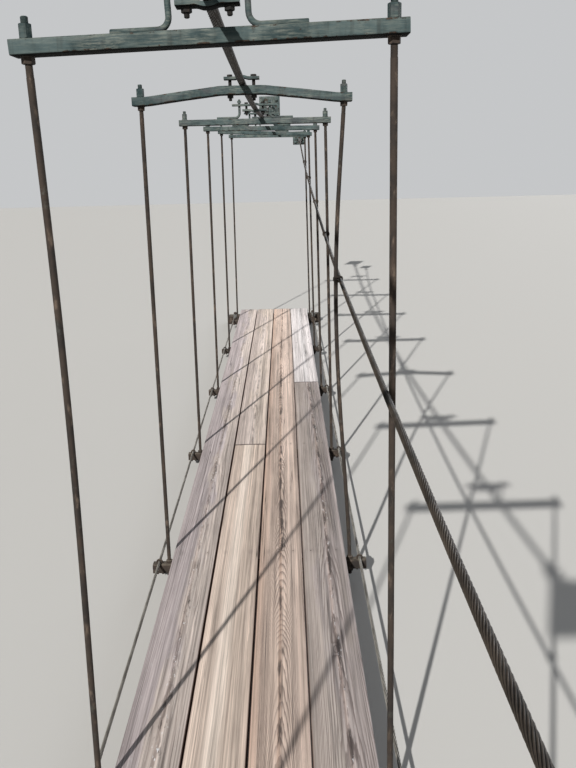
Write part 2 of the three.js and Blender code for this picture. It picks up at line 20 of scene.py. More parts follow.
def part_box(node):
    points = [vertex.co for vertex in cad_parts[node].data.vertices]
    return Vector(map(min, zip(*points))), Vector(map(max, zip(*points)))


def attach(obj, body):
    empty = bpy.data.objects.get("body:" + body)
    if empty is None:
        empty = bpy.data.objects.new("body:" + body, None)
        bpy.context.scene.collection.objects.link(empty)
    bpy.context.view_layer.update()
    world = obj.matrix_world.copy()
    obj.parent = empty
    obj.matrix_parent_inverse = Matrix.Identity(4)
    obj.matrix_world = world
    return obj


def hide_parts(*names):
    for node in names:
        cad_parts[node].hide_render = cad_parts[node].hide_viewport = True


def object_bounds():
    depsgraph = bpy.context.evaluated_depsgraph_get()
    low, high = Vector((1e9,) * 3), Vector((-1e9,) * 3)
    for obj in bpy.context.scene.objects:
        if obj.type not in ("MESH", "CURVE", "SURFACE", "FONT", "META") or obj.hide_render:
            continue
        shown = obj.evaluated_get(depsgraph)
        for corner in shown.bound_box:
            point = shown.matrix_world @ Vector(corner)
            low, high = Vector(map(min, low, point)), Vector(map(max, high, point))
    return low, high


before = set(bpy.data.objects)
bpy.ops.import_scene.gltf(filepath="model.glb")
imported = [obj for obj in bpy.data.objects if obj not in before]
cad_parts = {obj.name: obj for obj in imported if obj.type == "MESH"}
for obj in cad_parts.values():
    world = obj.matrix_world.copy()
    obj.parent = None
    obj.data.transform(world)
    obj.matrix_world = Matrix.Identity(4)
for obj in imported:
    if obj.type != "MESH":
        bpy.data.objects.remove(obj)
cad_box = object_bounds()
print("pieces in the frame:", len(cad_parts))

# %% [markdown]
# ## The camera
#
# The photograph was taken from the deck, with the eye 1.62 m above it, looking down along the bridge.
# The vanishing point of the deck's direction fixes the pitch and the turn, and the yokes show the roll.
# Working the camera out from these few facts is steadier than turning it by eye.

# %% Camera
PHOTO_WIDTH, PHOTO_HEIGHT = 576, 768
LENS_PIXELS = 769.6
VANISHING_X, VANISHING_Y = 283.05, 158.73
ROLL = math.radians(1.37)
EYE_HEIGHT = 1.62
EYE_X = 0.1427
SENSOR = 36

deck_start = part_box("deck_plank_1_near")[0].y
deck_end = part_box("deck_plank_1_far")[1].y
deck_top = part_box("deck_plank_1_near")[1].z
eye = Vector((EYE_X, deck_start, deck_top + EYE_HEIGHT))


def aim_camera():
    """The camera's turn, from where the bridge's direction meets the picture and how level things lie."""
    to_right = VANISHING_X - PHOTO_WIDTH / 2
    to_top = PHOTO_HEIGHT / 2 - VANISHING_Y
    along = Vector((to_right, to_top, -LENS_PIXELS)).normalized()
    level_x, level_y = math.cos(ROLL), math.sin(ROLL)
    depth = -(level_x * along.x + level_y * along.y) / along.z
    across = Vector((level_x, level_y, depth)).normalized()
    up = across.cross(along)
    return Matrix((across, along, up))


bpy.ops.object.camera_add(location=eye)
camera = bpy.context.active_object
camera.name = "camera"
camera.data.sensor_fit = "VERTICAL"
camera.data.sensor_height = SENSOR
camera.data.lens = LENS_PIXELS * SENSOR / PHOTO_HEIGHT
camera.data.clip_start = 0.02
camera.matrix_world = Matrix.Translation(eye) @ aim_camera().to_4x4()
bpy.context.scene.camera = camera
print("lens", round(camera.data.lens, 2), "mm")

# %% [markdown]
# ## Floor and light
#
# The bridge stands over a plain pale floor, under one soft sun from behind the left shoulder and a pale
# sky that fills the shadows. The shadows of the hangers on the deck give the sun's direction. The floor
# lies at the foot of the end beams. The light is balanced so that a level board in the sun shows the
# very tone that its finish names, and the view transform leaves it so. The sky lights little, so that
# shadows stay deep, and what is seen of it is a pale backdrop. A wide weak light stands low behind the
# far end, and shows the steel from the back without reaching the deck's shadows.

# %% Floor and light
FLOOR_SIDE = 60
FLOOR_TONE = (0.53, 0.525, 0.51, 1)
FLOOR_ROUGHNESS = 0.9
FLOOR_GAP = 0.0005
SKY_TONE = (0.93, 0.96, 1.0, 1)
SKY_STRENGTH = 0.14
SUN_STRENGTH = 5.2
SUN_TONE = (1.0, 0.975, 0.935)
BACKDROP_TONE = (0.56, 0.57, 0.58, 1)
SUN_WIDTH = math.radians(0.75)
SUN_HEIGHT = math.radians(30)
SUN_TURN = math.radians(19.2)
FILL_STRENGTH = 2.2
FILL_WIDTH = math.radians(50)
SUN_TRAVEL = Vector((math.sin(SUN_TURN), math.cos(SUN_TURN), -math.tan(SUN_HEIGHT)))
FILL_TRAVEL = Vector((-0.6, -0.8, -0.14))

bpy.ops.object.select_all(action="DESELECT")
bpy.ops.mesh.primitive_plane_add(size=FLOOR_SIDE, location=(0, deck_end / 2, cad_box[0][2] - FLOOR_GAP))
floor = bpy.context.active_object
floor.name = "floor"
floor_paint = bpy.data.materials.new("floor_paint")
floor_paint.use_nodes = True
floor_paint.node_tree.nodes["Principled BSDF"].inputs["Base Color"].default_value = FLOOR_TONE
floor_paint.node_tree.nodes["Principled BSDF"].inputs["Roughness"].default_value = FLOOR_ROUGHNESS
floor.data.materials.append(floor_paint)

world = bpy.data.worlds.new("pale_sky")
world.use_nodes = True
world.node_tree.nodes["Background"].inputs["Color"].default_value = SKY_TONE
world.node_tree.nodes["Background"].inputs["Strength"].default_value = SKY_STRENGTH
backdrop = world.node_tree.nodes.new("ShaderNodeBackground")
backdrop.inputs["Color"].default_value = BACKDROP_TONE
seen_or_lit = world.node_tree.nodes.new("ShaderNodeMixShader")
light_path = world.node_tree.nodes.new("ShaderNodeLightPath")
for start, end in [(light_path.outputs["Is Camera Ray"], seen_or_lit.inputs[0]),
                   (world.node_tree.nodes["Background"].outputs[0], seen_or_lit.inputs[1]),
                   (backdrop.outputs[0], seen_or_lit.inputs[2]),
                   (seen_or_lit.outputs[0], world.node_tree.nodes["World Output"].inputs["Surface"])]:
    world.node_tree.links.new(start, end)
bpy.context.scene.world = world
bpy.context.scene.view_settings.view_transform = "Standard"


def far_light(name, location, strength, tone, width, travel):
    """A sun lamp whose rays travel in one direction. Its place is only where its mark is drawn."""
    bpy.ops.object.light_add(type="SUN", location=location)
    lamp = bpy.context.active_object
    lamp.name = name
    lamp.data.energy = strength
    lamp.data.color = tone
    lamp.data.angle = width
    lamp.rotation_euler = travel.to_track_quat("-Z", "Y").to_euler()


far_light("sun", (-3, -4, 6), SUN_STRENGTH, SUN_TONE, SUN_WIDTH, SUN_TRAVEL)
far_light("fill", (5, 12, 2), FILL_STRENGTH, SKY_TONE[:3], FILL_WIDTH, FILL_TRAVEL)
print("floor at z =", round(floor.location.z, 4))

# %% [markdown]
# ## Helpers for modelling
#
# An operator acts on everything that is selected. So each piece is taken up alone, and faces and edges
# are then chosen in code by their place or direction. The helpers below are the few moves that every
# piece of this bridge needs: a block with rounded edges, a turned round part, a bar drawn along a line,
# a cut, a copy and a join. Bevel faces are marked with an attribute, because paint wears off there first.

# %% Selecting and editing
def take(*pieces):
    """Select these objects only, and make the first one active."""
    bpy.ops.object.select_all(action="DESELECT")
    for piece in pieces:
        piece.select_set(True)
    bpy.context.view_layer.objects.active = pieces[0]


@contextmanager
def editing(piece):
    """Edit mode on one object, with nothing selected at the start."""
    take(piece)
    bpy.ops.object.mode_set(mode="EDIT")
    bpy.ops.mesh.select_all(action="DESELECT")
    yield
    bpy.ops.object.mode_set(mode="OBJECT")


def choose(piece, kind, test):
    """Select the faces or edges of the piece in edit mode that pass a test."""
    bpy.ops.mesh.select_mode(type=kind)
    bpy.ops.mesh.select_all(action="DESELECT")
    shape = bmesh.from_edit_mesh(piece.data)
    for part in shape.faces if kind == "FACE" else shape.edges:
        if test(part):
            part.select_set(True)
    bmesh.update_edit_mesh(piece.data)


def mark_worn(piece):
    """Write on the selected faces that they are edges which wear."""
    shape = bmesh.from_edit_mesh(piece.data)
    worn = shape.faces.layers.float.get("worn") or shape.faces.layers.float.new("worn")
    for face in shape.faces:
        if face.select:
            face[worn] = 1
    bmesh.update_edit_mesh(piece.data)


def runs_along(axis):
    """A test for edges that run along an axis."""
    return lambda edge: abs((edge.verts[0].co - edge.verts[1].co).normalized()[axis]) > 0.99


print("selection helpers ready")

# %% Blocks, turned parts and drawn bars
def started(primitive, **settings):
    """A new primitive by itself, with its place, turn and size taken into its mesh."""
    bpy.ops.object.select_all(action="DESELECT")
    primitive(**settings)
    piece = bpy.context.active_object
    bpy.ops.object.transform_apply(location=True, rotation=True, scale=True)
    return piece


def pull(x=0.0, y=0.0, z=0.0):
    """Extrude what is selected and move it."""
    bpy.ops.mesh.extrude_region_move(TRANSFORM_OT_translate={"value": (x, y, z)})


def block(size, middle=(0, 0, 0), bevel=0.0015, segments=2, edges=lambda edge: True):
    """A box with rounded edges."""
    piece = started(bpy.ops.mesh.primitive_cube_add, size=1, location=middle, scale=size)
    with editing(piece):
        choose(piece, "EDGE", edges)
        bpy.ops.mesh.bevel(offset=bevel, segments=segments, affect="EDGES")
        mark_worn(piece)
    return piece


def disc(radius, height, sides):
    """A flat disc about the Z axis, ready to be pulled up."""
    return started(bpy.ops.mesh.primitive_circle_add, vertices=sides, radius=radius,
                   fill_type="NGON", location=(0, 0, height))


def close_up(piece):
    """Merge what lies at one place and turn all faces outwards."""
    with editing(piece):
        bpy.ops.mesh.select_all(action="SELECT")
        bpy.ops.mesh.remove_doubles(threshold=1e-6)
        bpy.ops.mesh.normals_make_consistent(inside=False)
    return piece


def turned(profile, sides=20):
    """A round part about the Z axis: a disc pulled up and resized through (radius, height) pairs."""
    (radius, height), *rest = profile
    piece = disc(radius, height, sides)
    with editing(piece):
        choose(piece, "FACE", lambda face: True)
        for next_radius, next_height in rest:
            pull(z=next_height - height)
            change = next_radius / radius
            bpy.ops.transform.resize(value=(change, change, 1), center_override=(0, 0, 0))
            radius, height = next_radius, next_height
    return close_up(piece)


def drawn(section, points, corner, segments=3):
    """A bar with rounded long edges. Its section is (width along Y, height along Z)."""
    piece = started(bpy.ops.mesh.primitive_plane_add, size=1, rotation=(0, math.pi / 2, 0))
    width, height = section
    piece.scale = (1, width, height)
    piece.location = points[0]
    bpy.ops.object.transform_apply(location=True, rotation=True, scale=True)
    with editing(piece):
        bpy.ops.mesh.select_all(action="SELECT")
        bpy.ops.mesh.bevel(offset=corner, segments=segments, affect="VERTICES")
        choose(piece, "FACE", lambda face: True)
        for start, end in zip(points, points[1:]):
            pull(*(Vector(end) - Vector(start)))
        bpy.ops.mesh.select_all(action="SELECT")
        bpy.ops.mesh.normals_make_consistent(inside=False)
        choose(piece, "FACE", lambda face: abs(face.normal.y) > 0.1 and abs(face.normal.z) > 0.1)
        mark_worn(piece)
    return piece


print("shape helpers ready")

# %% Cuts, copies and joins
def apply_all(piece):
    """Apply every modifier of the piece, from the top one down."""
    take(piece)
    for modifier in list(piece.modifiers):
        bpy.ops.object.modifier_apply(modifier=modifier.name)


def cut(piece, *tools, operation="DIFFERENCE"):
    """Cut the piece with tools, which are thrown away."""
    for tool in tools:
        boolean = piece.modifiers.new("cut", "BOOLEAN")
        boolean.operation = operation
        boolean.solver = "EXACT"
        boolean.object = tool
        apply_all(piece)
        throw_away(tool)
    return piece


def throw_away(*pieces):
    for piece in pieces:
        mesh = piece.data
        bpy.data.objects.remove(piece)
        bpy.data.meshes.remove(mesh)


def placed(piece, *moves):
    """Move and turn a piece within its own mesh, one matrix after the other."""
    for matrix in moves:
        piece.data.transform(matrix)
    return piece


def copied(piece, place=Matrix.Identity(4)):
    """A copy with its own mesh, and its place in that mesh."""
    twin = piece.copy()
    twin.data = piece.data.copy()
    twin.data.transform(place)
    if place.determinant() < 0:
        twin.data.flip_normals()
    bpy.context.scene.collection.objects.link(twin)
    return twin


def repeated(piece, count, step, merge=0.0):
    """The piece again and again at a step, by an Array modifier. Merged, its copies are one surface."""
    array = piece.modifiers.new("repeats", "ARRAY")
    array.count = max(2, count)
    array.use_relative_offset = False
    array.use_constant_offset = True
    array.constant_offset_displace = step
    array.use_merge_vertices = merge > 0
    array.merge_threshold = merge
    apply_all(piece)
    return piece


def joined(name, parts):
    """One piece of several parts, with a name."""
    take(*parts)
    if len(parts) > 1:
        bpy.ops.object.join()
    piece = bpy.context.active_object
    piece.name = name
    piece.data.name = name
    return piece


def move(x=0.0, y=0.0, z=0.0):
    return Matrix.Translation((x, y, z))


def turn(degrees, axis):
    return Matrix.Rotation(math.radians(degrees), 4, axis)


SMOOTH_ANGLE = math.radians(32)


def finish_piece(piece, material, slot, *nodes):
    """Give a piece its finish, hang it on the root body and hide the imported parts that it stands for."""
    if not piece.data.materials:
        piece.data.materials.append(material)
    take(piece)
    bpy.ops.object.shade_smooth_by_angle(angle=SMOOTH_ANGLE)
    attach(piece, "root")
    if nodes:
        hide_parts(*nodes)
    return piece


print("assembly helpers ready")

# %% [markdown]
# ## Helpers for materials
#
# A finish here is a sum of patterns: fibres, rings, rust and dirt at their real scale. Long chains of
# Math nodes are hard to read, so a small class wraps a wire between nodes and lets it be added and
# multiplied like a number. One method makes every node, with its settings first and its sockets after.

# %% Wires and nodes
class Wire:
    """A value that comes out of a node. Arithmetic on wires adds Math nodes."""

    def __init__(self, finish, socket):
        self.finish = finish
        self.socket = socket

    def maths(self, operation, *others):
        return self.finish.node("ShaderNodeMath", {"operation": operation}, (self, *others))

    def __add__(self, other):
        return self.maths("ADD", other)

    def __sub__(self, other):
        return self.maths("SUBTRACT", other)

    def __rsub__(self, other):
        return self.finish.node("ShaderNodeMath", {"operation": "SUBTRACT"}, (other, self))

    def __mul__(self, other):
        return self.maths("MULTIPLY", other)

    def __truediv__(self, other):
        return self.maths("DIVIDE", other)

    def __pow__(self, other):
        return self.maths("POWER", other)

    def __abs__(self):
        return self.maths("ABSOLUTE")

    __radd__ = __add__
    __rmul__ = __mul__


class Finish:
    """A material whose nodes are made by one method."""

    def __init__(self, name, roughness=0.8, metallic=0.0):
        self.material = bpy.data.materials.new(name)
        self.material.use_nodes = True
        self.tree = self.material.node_tree
        self.shader = self.tree.nodes["Principled BSDF"]
        self.shader.inputs["Roughness"].default_value = roughness
        self.shader.inputs["Metallic"].default_value = metallic

    def node(self, kind, settings=None, inputs=(), output=0):
        """Add a node: its settings first, then the values or wires of its sockets."""
        made = self.tree.nodes.new(kind)
        for name, value in (settings or {}).items():
            setattr(made, name, value)
        pairs = inputs.items() if isinstance(inputs, dict) else enumerate(inputs)
        for key, value in pairs:
            self.feed(made.inputs[key], value)
        return Wire(self, made.outputs[output])

    def feed(self, socket, value):
        if isinstance(value, Wire):
            self.tree.links.new(value.socket, socket)
        else:
            socket.default_value = value

    def set(self, name, value):
        self.feed(self.shader.inputs[name], value)

    def place(self):
        """Object coordinates, in metres."""
        return self.node("ShaderNodeTexCoord", output="Object")

    def attribute(self, name, output="Vector"):
        return self.node("ShaderNodeAttribute", {"attribute_name": name}, output=output)

    def split(self, vector):
        apart = self.node("ShaderNodeSeparateXYZ", inputs=(vector,))
        return [Wire(self, socket) for socket in apart.socket.node.outputs]

    def vector(self, x, y, z):
        return self.node("ShaderNodeCombineXYZ", inputs=(x, y, z))

    def stretch(self, vector, factors):
        return self.node("ShaderNodeVectorMath", {"operation": "MULTIPLY"}, (vector, factors))

    def dim(self, colour, factor):
        """A colour made darker or brighter."""
        colour = colour if isinstance(colour, Wire) else colour[:3]
        return self.node("ShaderNodeVectorMath", {"operation": "SCALE"}, {0: colour, "Scale": factor})

    def noise(self, where, scale=1.0, detail=3.0, roughness=0.55, distortion=0.0):
        sockets = {"Vector": where, "Scale": scale, "Detail": detail, "Roughness": roughness,
                   "Distortion": distortion}
        return self.node("ShaderNodeTexNoise", inputs=sockets)

    def cells(self, where, scale):
        sockets = {"Vector": where, "Scale": scale}
        return self.node("ShaderNodeTexVoronoi", inputs=sockets, output="Distance")

    def ramp(self, value, low, high):
        """0 below low, 1 above high and a smooth rise between; it falls where low is above high."""
        settings = {"interpolation_type": "SMOOTHSTEP"}
        return self.node("ShaderNodeMapRange", settings, {0: value, 1: low, 2: high})

    def mix(self, factor, first, second):
        return self.node("ShaderNodeMix", {"data_type": "RGBA"}, {0: factor, 6: first, 7: second}, output=2)

    def relief(self, height, distance, strength=1.0):
        sockets = {"Height": height, "Distance": distance, "Strength": strength}
        self.set("Normal", self.node("ShaderNodeBump", inputs=sockets))


def tone(red, green, blue):
    """A colour from its 0 to 255 display values."""
    levels = [level / 255 for level in (red, green, blue)]
    linear = [((level + 0.055) / 1.055) ** 2.4 if level > 0.04045 else level / 12.92 for level in levels]
    return (*linear, 1)


print("material helpers ready")

# %% [markdown]
# ## Weathered wood
#
# The planks are softwood, sawn flat from the log and greyed by years of sun. The saw cuts the growth
# rings at a slant, so the dark late wood draws nested arches that point along the board. That is what
# the shader does. It counts rings along the board and adds more of them with the square of the distance
# from the heart line, which wanders. Each board carries its own arches per metre, ring count across and
# heart line. A heart line beyond the board's edge gives the straight grain of a quarter-sawn board.
# Fibres, cracks, knots and the stains of nails come on top, and the boards are paler towards the far
# end, which lies longer in the sun.

# %% Weathered wood
NAIL_OFFSET = 0.0535
LATE_WOOD = tone(84, 70, 66)
FLAME = tone(50, 41, 39)
HEART_ORANGE = tone(174, 137, 114)
VIOLET_GREY = tone(150, 143, 152)
SEAM_BROWN = tone(88, 58, 45)
SUN_BLEACHED = tone(226, 226, 230)
CRACK_BLACK = tone(30, 24, 22)
NAIL_STAIN = tone(100, 90, 86)
# Knots, by their place across the bridge and along the deck, in metres
KNOTS = [(0.092, 3.02), (0.090, 3.26), (0.096, 3.95), (0.285, 2.28), (-0.262, 5.1), (-0.1, 7.3)]
KNOT_LENGTH, KNOT_WIDTH, KNOT_RINGS = 0.030, 0.011, 2.4

# Where along the bridge the boards begin to be paler, and where they are palest
BLEACHED_FROM_TO = (deck_start + 3.9, deck_start + 7.4)

FRAMES = range(7)
frame_y = [sum(corner.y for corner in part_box(f"cross_bearer_{i}")) / 2 for i in FRAMES]
bearer_pitch = frame_y[1] - frame_y[0]


def knot_bells(x, y):
    """A bell of height 1 over each knot, added up as one wire."""
    bells = 0.0
    for knot_x, knot_y in KNOTS:
        side = (x - knot_x) / KNOT_WIDTH
        length = (y - (deck_start + knot_y)) / KNOT_LENGTH
        bells = ((side * side + length * length) * -1).maths("EXPONENT") + bells
    return bells


def weathered_wood():
    finish = Finish("weathered_wood", roughness=0.8)
    across, along, seed = finish.split(finish.attribute("board"))
    warmth, specks, strength = finish.split(finish.attribute("dress"))
    ribbon_place, ribbon_width, ribbon_light = finish.split(finish.attribute("ribbon"))
    arches, curve, heart_line = finish.split(finish.attribute("figure"))
    from_end = finish.attribute("from_end", "Fac")
    x, y, _ = finish.split(finish.place())
    tint = finish.attribute("tint", "Color")
    far = finish.ramp(y, *BLEACHED_FROM_TO)
    strength = strength * (1 - 0.35 * far)

    def grain(per_metre_across, per_metre_along, shift=0, **look):
        """Noise at its own scale across and along the fibres, different on every board."""
        place = finish.vector(across * per_metre_across, along * per_metre_along, seed + shift)
        return finish.noise(place, **look)

    # Growth rings, counted along the board and out from its heart line
    wander = finish.noise(finish.vector(along * 0.45, seed, 3.1), detail=2) - 0.5
    surge = finish.noise(finish.vector(along * 0.9, seed, 7.7), detail=2) - 0.5
    knots = knot_bells(x, y)
    from_heart = across - heart_line - wander * 0.045
    ragged = grain(120, 7, detail=3) - 0.5
    rings = along * arches + surge * arches * 1.6 + from_heart * from_heart * curve + ragged * 0.9
    phase = (rings + knots * KNOT_RINGS).maths("FRACT")
    late = finish.ramp(phase, 0.35, 0.93) * finish.ramp(phase, 1.0, 0.93)
    here = grain(22, 1.1, 12, detail=2)
    late = late * finish.ramp(here, 0.30, 0.62) * strength
    heart = finish.ramp(abs(from_heart), 0.021, 0.0)
    licks = finish.noise(finish.vector(from_heart * 62, along * 6.5, seed + 17), detail=3, roughness=0.6)
    flames = finish.ramp(licks + heart * 0.16, 0.60, 0.74) * heart * strength

    # Fibres, streaks, broad pale bands and blotches
    fibres = grain(430, 5, detail=3, roughness=0.6)
    lines = grain(165, 1.1, 2, detail=3, roughness=0.7)
    streaks = grain(80, 0.6, detail=4, roughness=0.7)
    bands = grain(26, 0.22, 6, detail=2)
    blotches = grain(9, 1.6, 4.4, detail=4, roughness=0.6)
    bleached = 0.855 + 0.27 * far
    light = (1.6 * lines + 1.9 * streaks + 1.2 * bands + 0.9 * fibres + 0.75 * blotches - 2.12) * bleached
    from_ribbon = abs(across - ribbon_place - wander * 0.02) + (streaks - 0.5) * 0.012
    ribbon = finish.ramp(from_ribbon, ribbon_width, ribbon_width * 0.2)
    colour = finish.dim(tint, light + (ribbon - 0.25) * ribbon_light)
    cast = finish.ramp(blotches + bands * 0.5 - warmth * across * 6, 0.66, 0.84) * 0.55 * specks
    colour = finish.mix(cast, colour, finish.dim(VIOLET_GREY, light))
    edge = finish.ramp(warmth * across + (streaks - 0.5) * 0.05, 0.030, 0.095)
    core = finish.ramp(abs(from_heart + 0.004) + (lines - 0.5) * 0.012, 0.010, 0.001) * strength
    beside_ribbon = (1 - ribbon) * ribbon_light * 0.6
    warm = edge * 0.40 + core * abs(warmth) * 0.45 + beside_ribbon
    colour = finish.mix(warm, colour, finish.dim(HEART_ORANGE, light))
    colour = finish.mix(late * 0.68, colour, LATE_WOOD)
    colour = finish.mix(flames * 0.88, colour, FLAME)

    # Pale and dark specks, thin cracks, stains round the nails and dark ends
    spots = grain(120, 30, 9, detail=4, roughness=0.7)
    dark_spots = grain(130, 24, 15, detail=3, roughness=0.6)
    in_line = finish.ramp(abs(from_heart) + (blotches - 0.5) * 0.02, 0.020, 0.002)
    colour = finish.mix(finish.ramp(spots, 0.60, 0.67) * (0.12 + in_line) * specks, colour, SUN_BLEACHED)
    colour = finish.mix(finish.ramp(dark_spots, 0.58, 0.66) * in_line * specks * 0.7, colour, FLAME)
    crack_line = grain(55, 0.4, 20, detail=3, roughness=0.5)
    crack_here = finish.ramp(grain(14, 1.3, 30), 0.52, 0.62)
    crack = finish.ramp(abs(crack_line - 0.5), 0.009, 0.002) * crack_here
    colour = finish.mix(crack * 0.7, colour, CRACK_BLACK)
    half_pitch = bearer_pitch / 2
    from_bearer = (y - frame_y[0] + half_pitch).maths("FLOORED_MODULO", bearer_pitch) - half_pitch
    from_nail = abs(across) - NAIL_OFFSET
    nail = (from_nail * from_nail + from_bearer * from_bearer * 0.2) ** 0.5
    stain = finish.ramp(nail + (fibres - 0.5) * 0.01, 0.014, 0.003)
    colour = finish.mix(stain * 0.22, colour, NAIL_STAIN)
    dark_end = finish.ramp(from_end + (fibres - 0.5) * 0.006, 0.011, 0.002)
    colour = finish.mix(dark_end * 0.8, colour, FLAME)
    sideways = finish.split(finish.node("ShaderNodeNewGeometry", output="Normal"))[0]
    in_seam = finish.ramp(abs(sideways), 0.35, 0.85) * finish.ramp(abs(x), 0.368, 0.362)
    colour = finish.mix(in_seam * 0.8, colour, SEAM_BROWN)

    finish.set("Base Color", colour)
    finish.set("Roughness", 0.72 + 0.2 * fibres)
    height = fibres * 0.35 + lines * 0.3 + late * 0.5 - crack * 1.6 - flames * 0.5
    finish.relief(height, distance=0.0011, strength=0.75)
    return finish.material


WOOD = weathered_wood()
print("wood nodes:", len(WOOD.node_tree.nodes))

# %% [markdown]
# ## Painted, rusted and galvanised steel
#
# The yokes and clamps were brushed with a blue-green paint that has gone dull and is scuffed pale in
# patches. It has worn to a brown line along the lower edges, where water hangs, and the undersides are
# painted nearly black as shade. So the shader mixes the marked bevel faces with the way a face looks: up,
# down or sideways. The hangers and bearers have lost nearly all of their paint, and their undersides get
# the same painted shade. The ropes are bare drawn wire, dark with grease, with painted shade deep in the
# grooves between the wires and painted highlights on the wire crests. The small grips on them are
# galvanised.

# %% Painted steel
PAINT_BODY = tone(66, 80, 81)
PAINT_PALE = tone(99, 109, 106)
PAINT_DEEP = tone(40, 55, 57)
PAINT_BRUISE = tone(66, 64, 68)
CHALK = tone(110, 114, 106)
SCUFFED = tone(122, 125, 116)
DIRT = tone(38, 35, 31)
# A near black for faces that look down: painted shade
DOWNWARD_PAINTED_SHADE = tone(7, 7, 7)
RUST_DARK = tone(40, 33, 29)
RUST_BRIGHT = tone(66, 50, 40)


def looking_up(finish):
    """How far the surface looks up, from -1 below to 1 on top."""
    normal = finish.node("ShaderNodeNewGeometry", output="Normal")
    return finish.split(normal)[2]


def painted_steel():
    finish = Finish("green_painted_steel", roughness=0.6)
    finish.set("Specular IOR Level", 0.10)
    place = finish.place()
    worn = finish.attribute("worn", "Fac")
    up = looking_up(finish)
    mottle = finish.noise(place, scale=13, detail=5, roughness=0.62)
    bruise = finish.noise(finish.stretch(place, (6, 22, 22)), detail=4, roughness=0.6)
    brushed = finish.noise(finish.stretch(place, (9, 70, 70)), detail=4, roughness=0.65)
    fine = finish.noise(place, scale=150, detail=3)
    runs = finish.noise(finish.stretch(place, (60, 60, 6)), detail=3)
    colour = finish.mix(finish.ramp(mottle, 0.36, 0.64), PAINT_DEEP, PAINT_BODY)
    colour = finish.mix(finish.ramp(bruise, 0.50, 0.66) * 0.55, colour, PAINT_BRUISE)
    colour = finish.mix(finish.ramp(brushed, 0.46, 0.74) * 0.6, colour, PAINT_PALE)
    chalky = finish.ramp(up, 0.2, 0.9) * finish.ramp(mottle + fine * 0.3, 0.55, 0.75)
    colour = finish.mix(chalky * 0.5, colour, CHALK)
    scratches = finish.noise(finish.stretch(place, (26, 260, 260)), detail=4, roughness=0.75)
    scuffed_here = finish.ramp(finish.noise(finish.stretch(place, (7, 3, 3)), detail=3), 0.42, 0.60)
    scuffs = finish.ramp(scratches, 0.42, 0.66) * (0.12 + scuffed_here * 0.48)
    colour = finish.mix(scuffs, colour, SCUFFED)
    colour = finish.mix(finish.ramp(runs, 0.52, 0.72) * 0.35, colour, DIRT)
    flaking = finish.noise(place, scale=36, detail=6, roughness=0.66) + worn * 0.10
    low_edge = worn * finish.ramp(up, 0.1, -0.5)
    chipped = finish.ramp(flaking + low_edge * 0.05, 0.675, 0.71)
    rust = finish.mix(finish.ramp(fine, 0.4, 0.65), RUST_DARK, RUST_BRIGHT)
    colour = finish.mix(finish.ramp(flaking, 0.62, 0.68) * 0.25, colour, RUST_DARK)
    colour = finish.mix(chipped * 0.85, colour, rust)
    # Painted shade: faces that look down are made nearly black.
    colour = finish.mix(finish.ramp(up, -0.55, -0.85) * 0.96, colour, DOWNWARD_PAINTED_SHADE)
    finish.set("Base Color", colour)
    under = finish.ramp(up, -0.4, -0.8)
    finish.set("Roughness", 0.50 + 0.18 * mottle + 0.2 * chipped + 0.4 * under)
    finish.relief(fine * 0.25 + brushed * 0.4 - chipped * 0.8, distance=0.0006, strength=0.6)
    return finish.material


GREEN = painted_steel()
print("paint nodes:", len(GREEN.node_tree.nodes))

# %% Rusted steel, wire and zinc
RUST_BODY = tone(49, 40, 33)
RUST_WORN = tone(112, 97, 84)
RUST_SHADE = tone(30, 25, 22)
OLD_PAINT = tone(58, 60, 53)
DUST = tone(112, 104, 93)
# Near black deep in the rope grooves: grease and painted shade together
GREASE_AND_GROOVE_SHADE = tone(16, 15, 14)
ZINC = tone(140, 142, 142)
ZINC_DULL = tone(98, 100, 99)


def rusted_steel(name, body, shade, worn_tone):
    finish = Finish(name, roughness=0.78)
    place = finish.place()
    worn = finish.attribute("worn", "Fac")
    up = looking_up(finish)
    broad = finish.noise(place, scale=14, detail=5, roughness=0.62)
    fine = finish.noise(place, scale=190, detail=4, roughness=0.7)
    runs = finish.noise(finish.stretch(place, (70, 70, 5)), detail=4)
    colour = finish.mix(finish.ramp(broad, 0.35, 0.62), shade, body)
    colour = finish.mix(finish.ramp(runs, 0.52, 0.74) * 0.35, colour, RUST_BRIGHT)
    paint = finish.ramp(finish.noise(place, scale=24, detail=6, roughness=0.7) - worn * 0.1, 0.60, 0.66)
    colour = finish.mix(paint * 0.4, colour, OLD_PAINT)
    rubbed = finish.noise(finish.stretch(place, (46, 46, 17)), detail=4, roughness=0.65)
    colour = finish.mix(finish.ramp(rubbed, 0.54, 0.70) * 0.5, colour, worn_tone)
    colour = finish.mix(finish.ramp(fine, 0.52, 0.74) * 0.5, colour, shade)
    dusty = finish.ramp(up, 0.55, 0.95) * finish.ramp(broad + fine * 0.4, 0.55, 0.80)
    colour = finish.mix(dusty * 0.7, colour, DUST)
    # Painted shade: faces that look down are made nearly black.
    colour = finish.mix(finish.ramp(up, -0.6, -0.95) * 0.8, colour, DOWNWARD_PAINTED_SHADE)
    finish.set("Base Color", colour)
    finish.set("Roughness", 0.9 - 0.2 * paint)
    finish.relief(fine * 0.7 + broad * 0.3 + paint * 0.35, distance=0.0007, strength=0.7)
    return finish.material


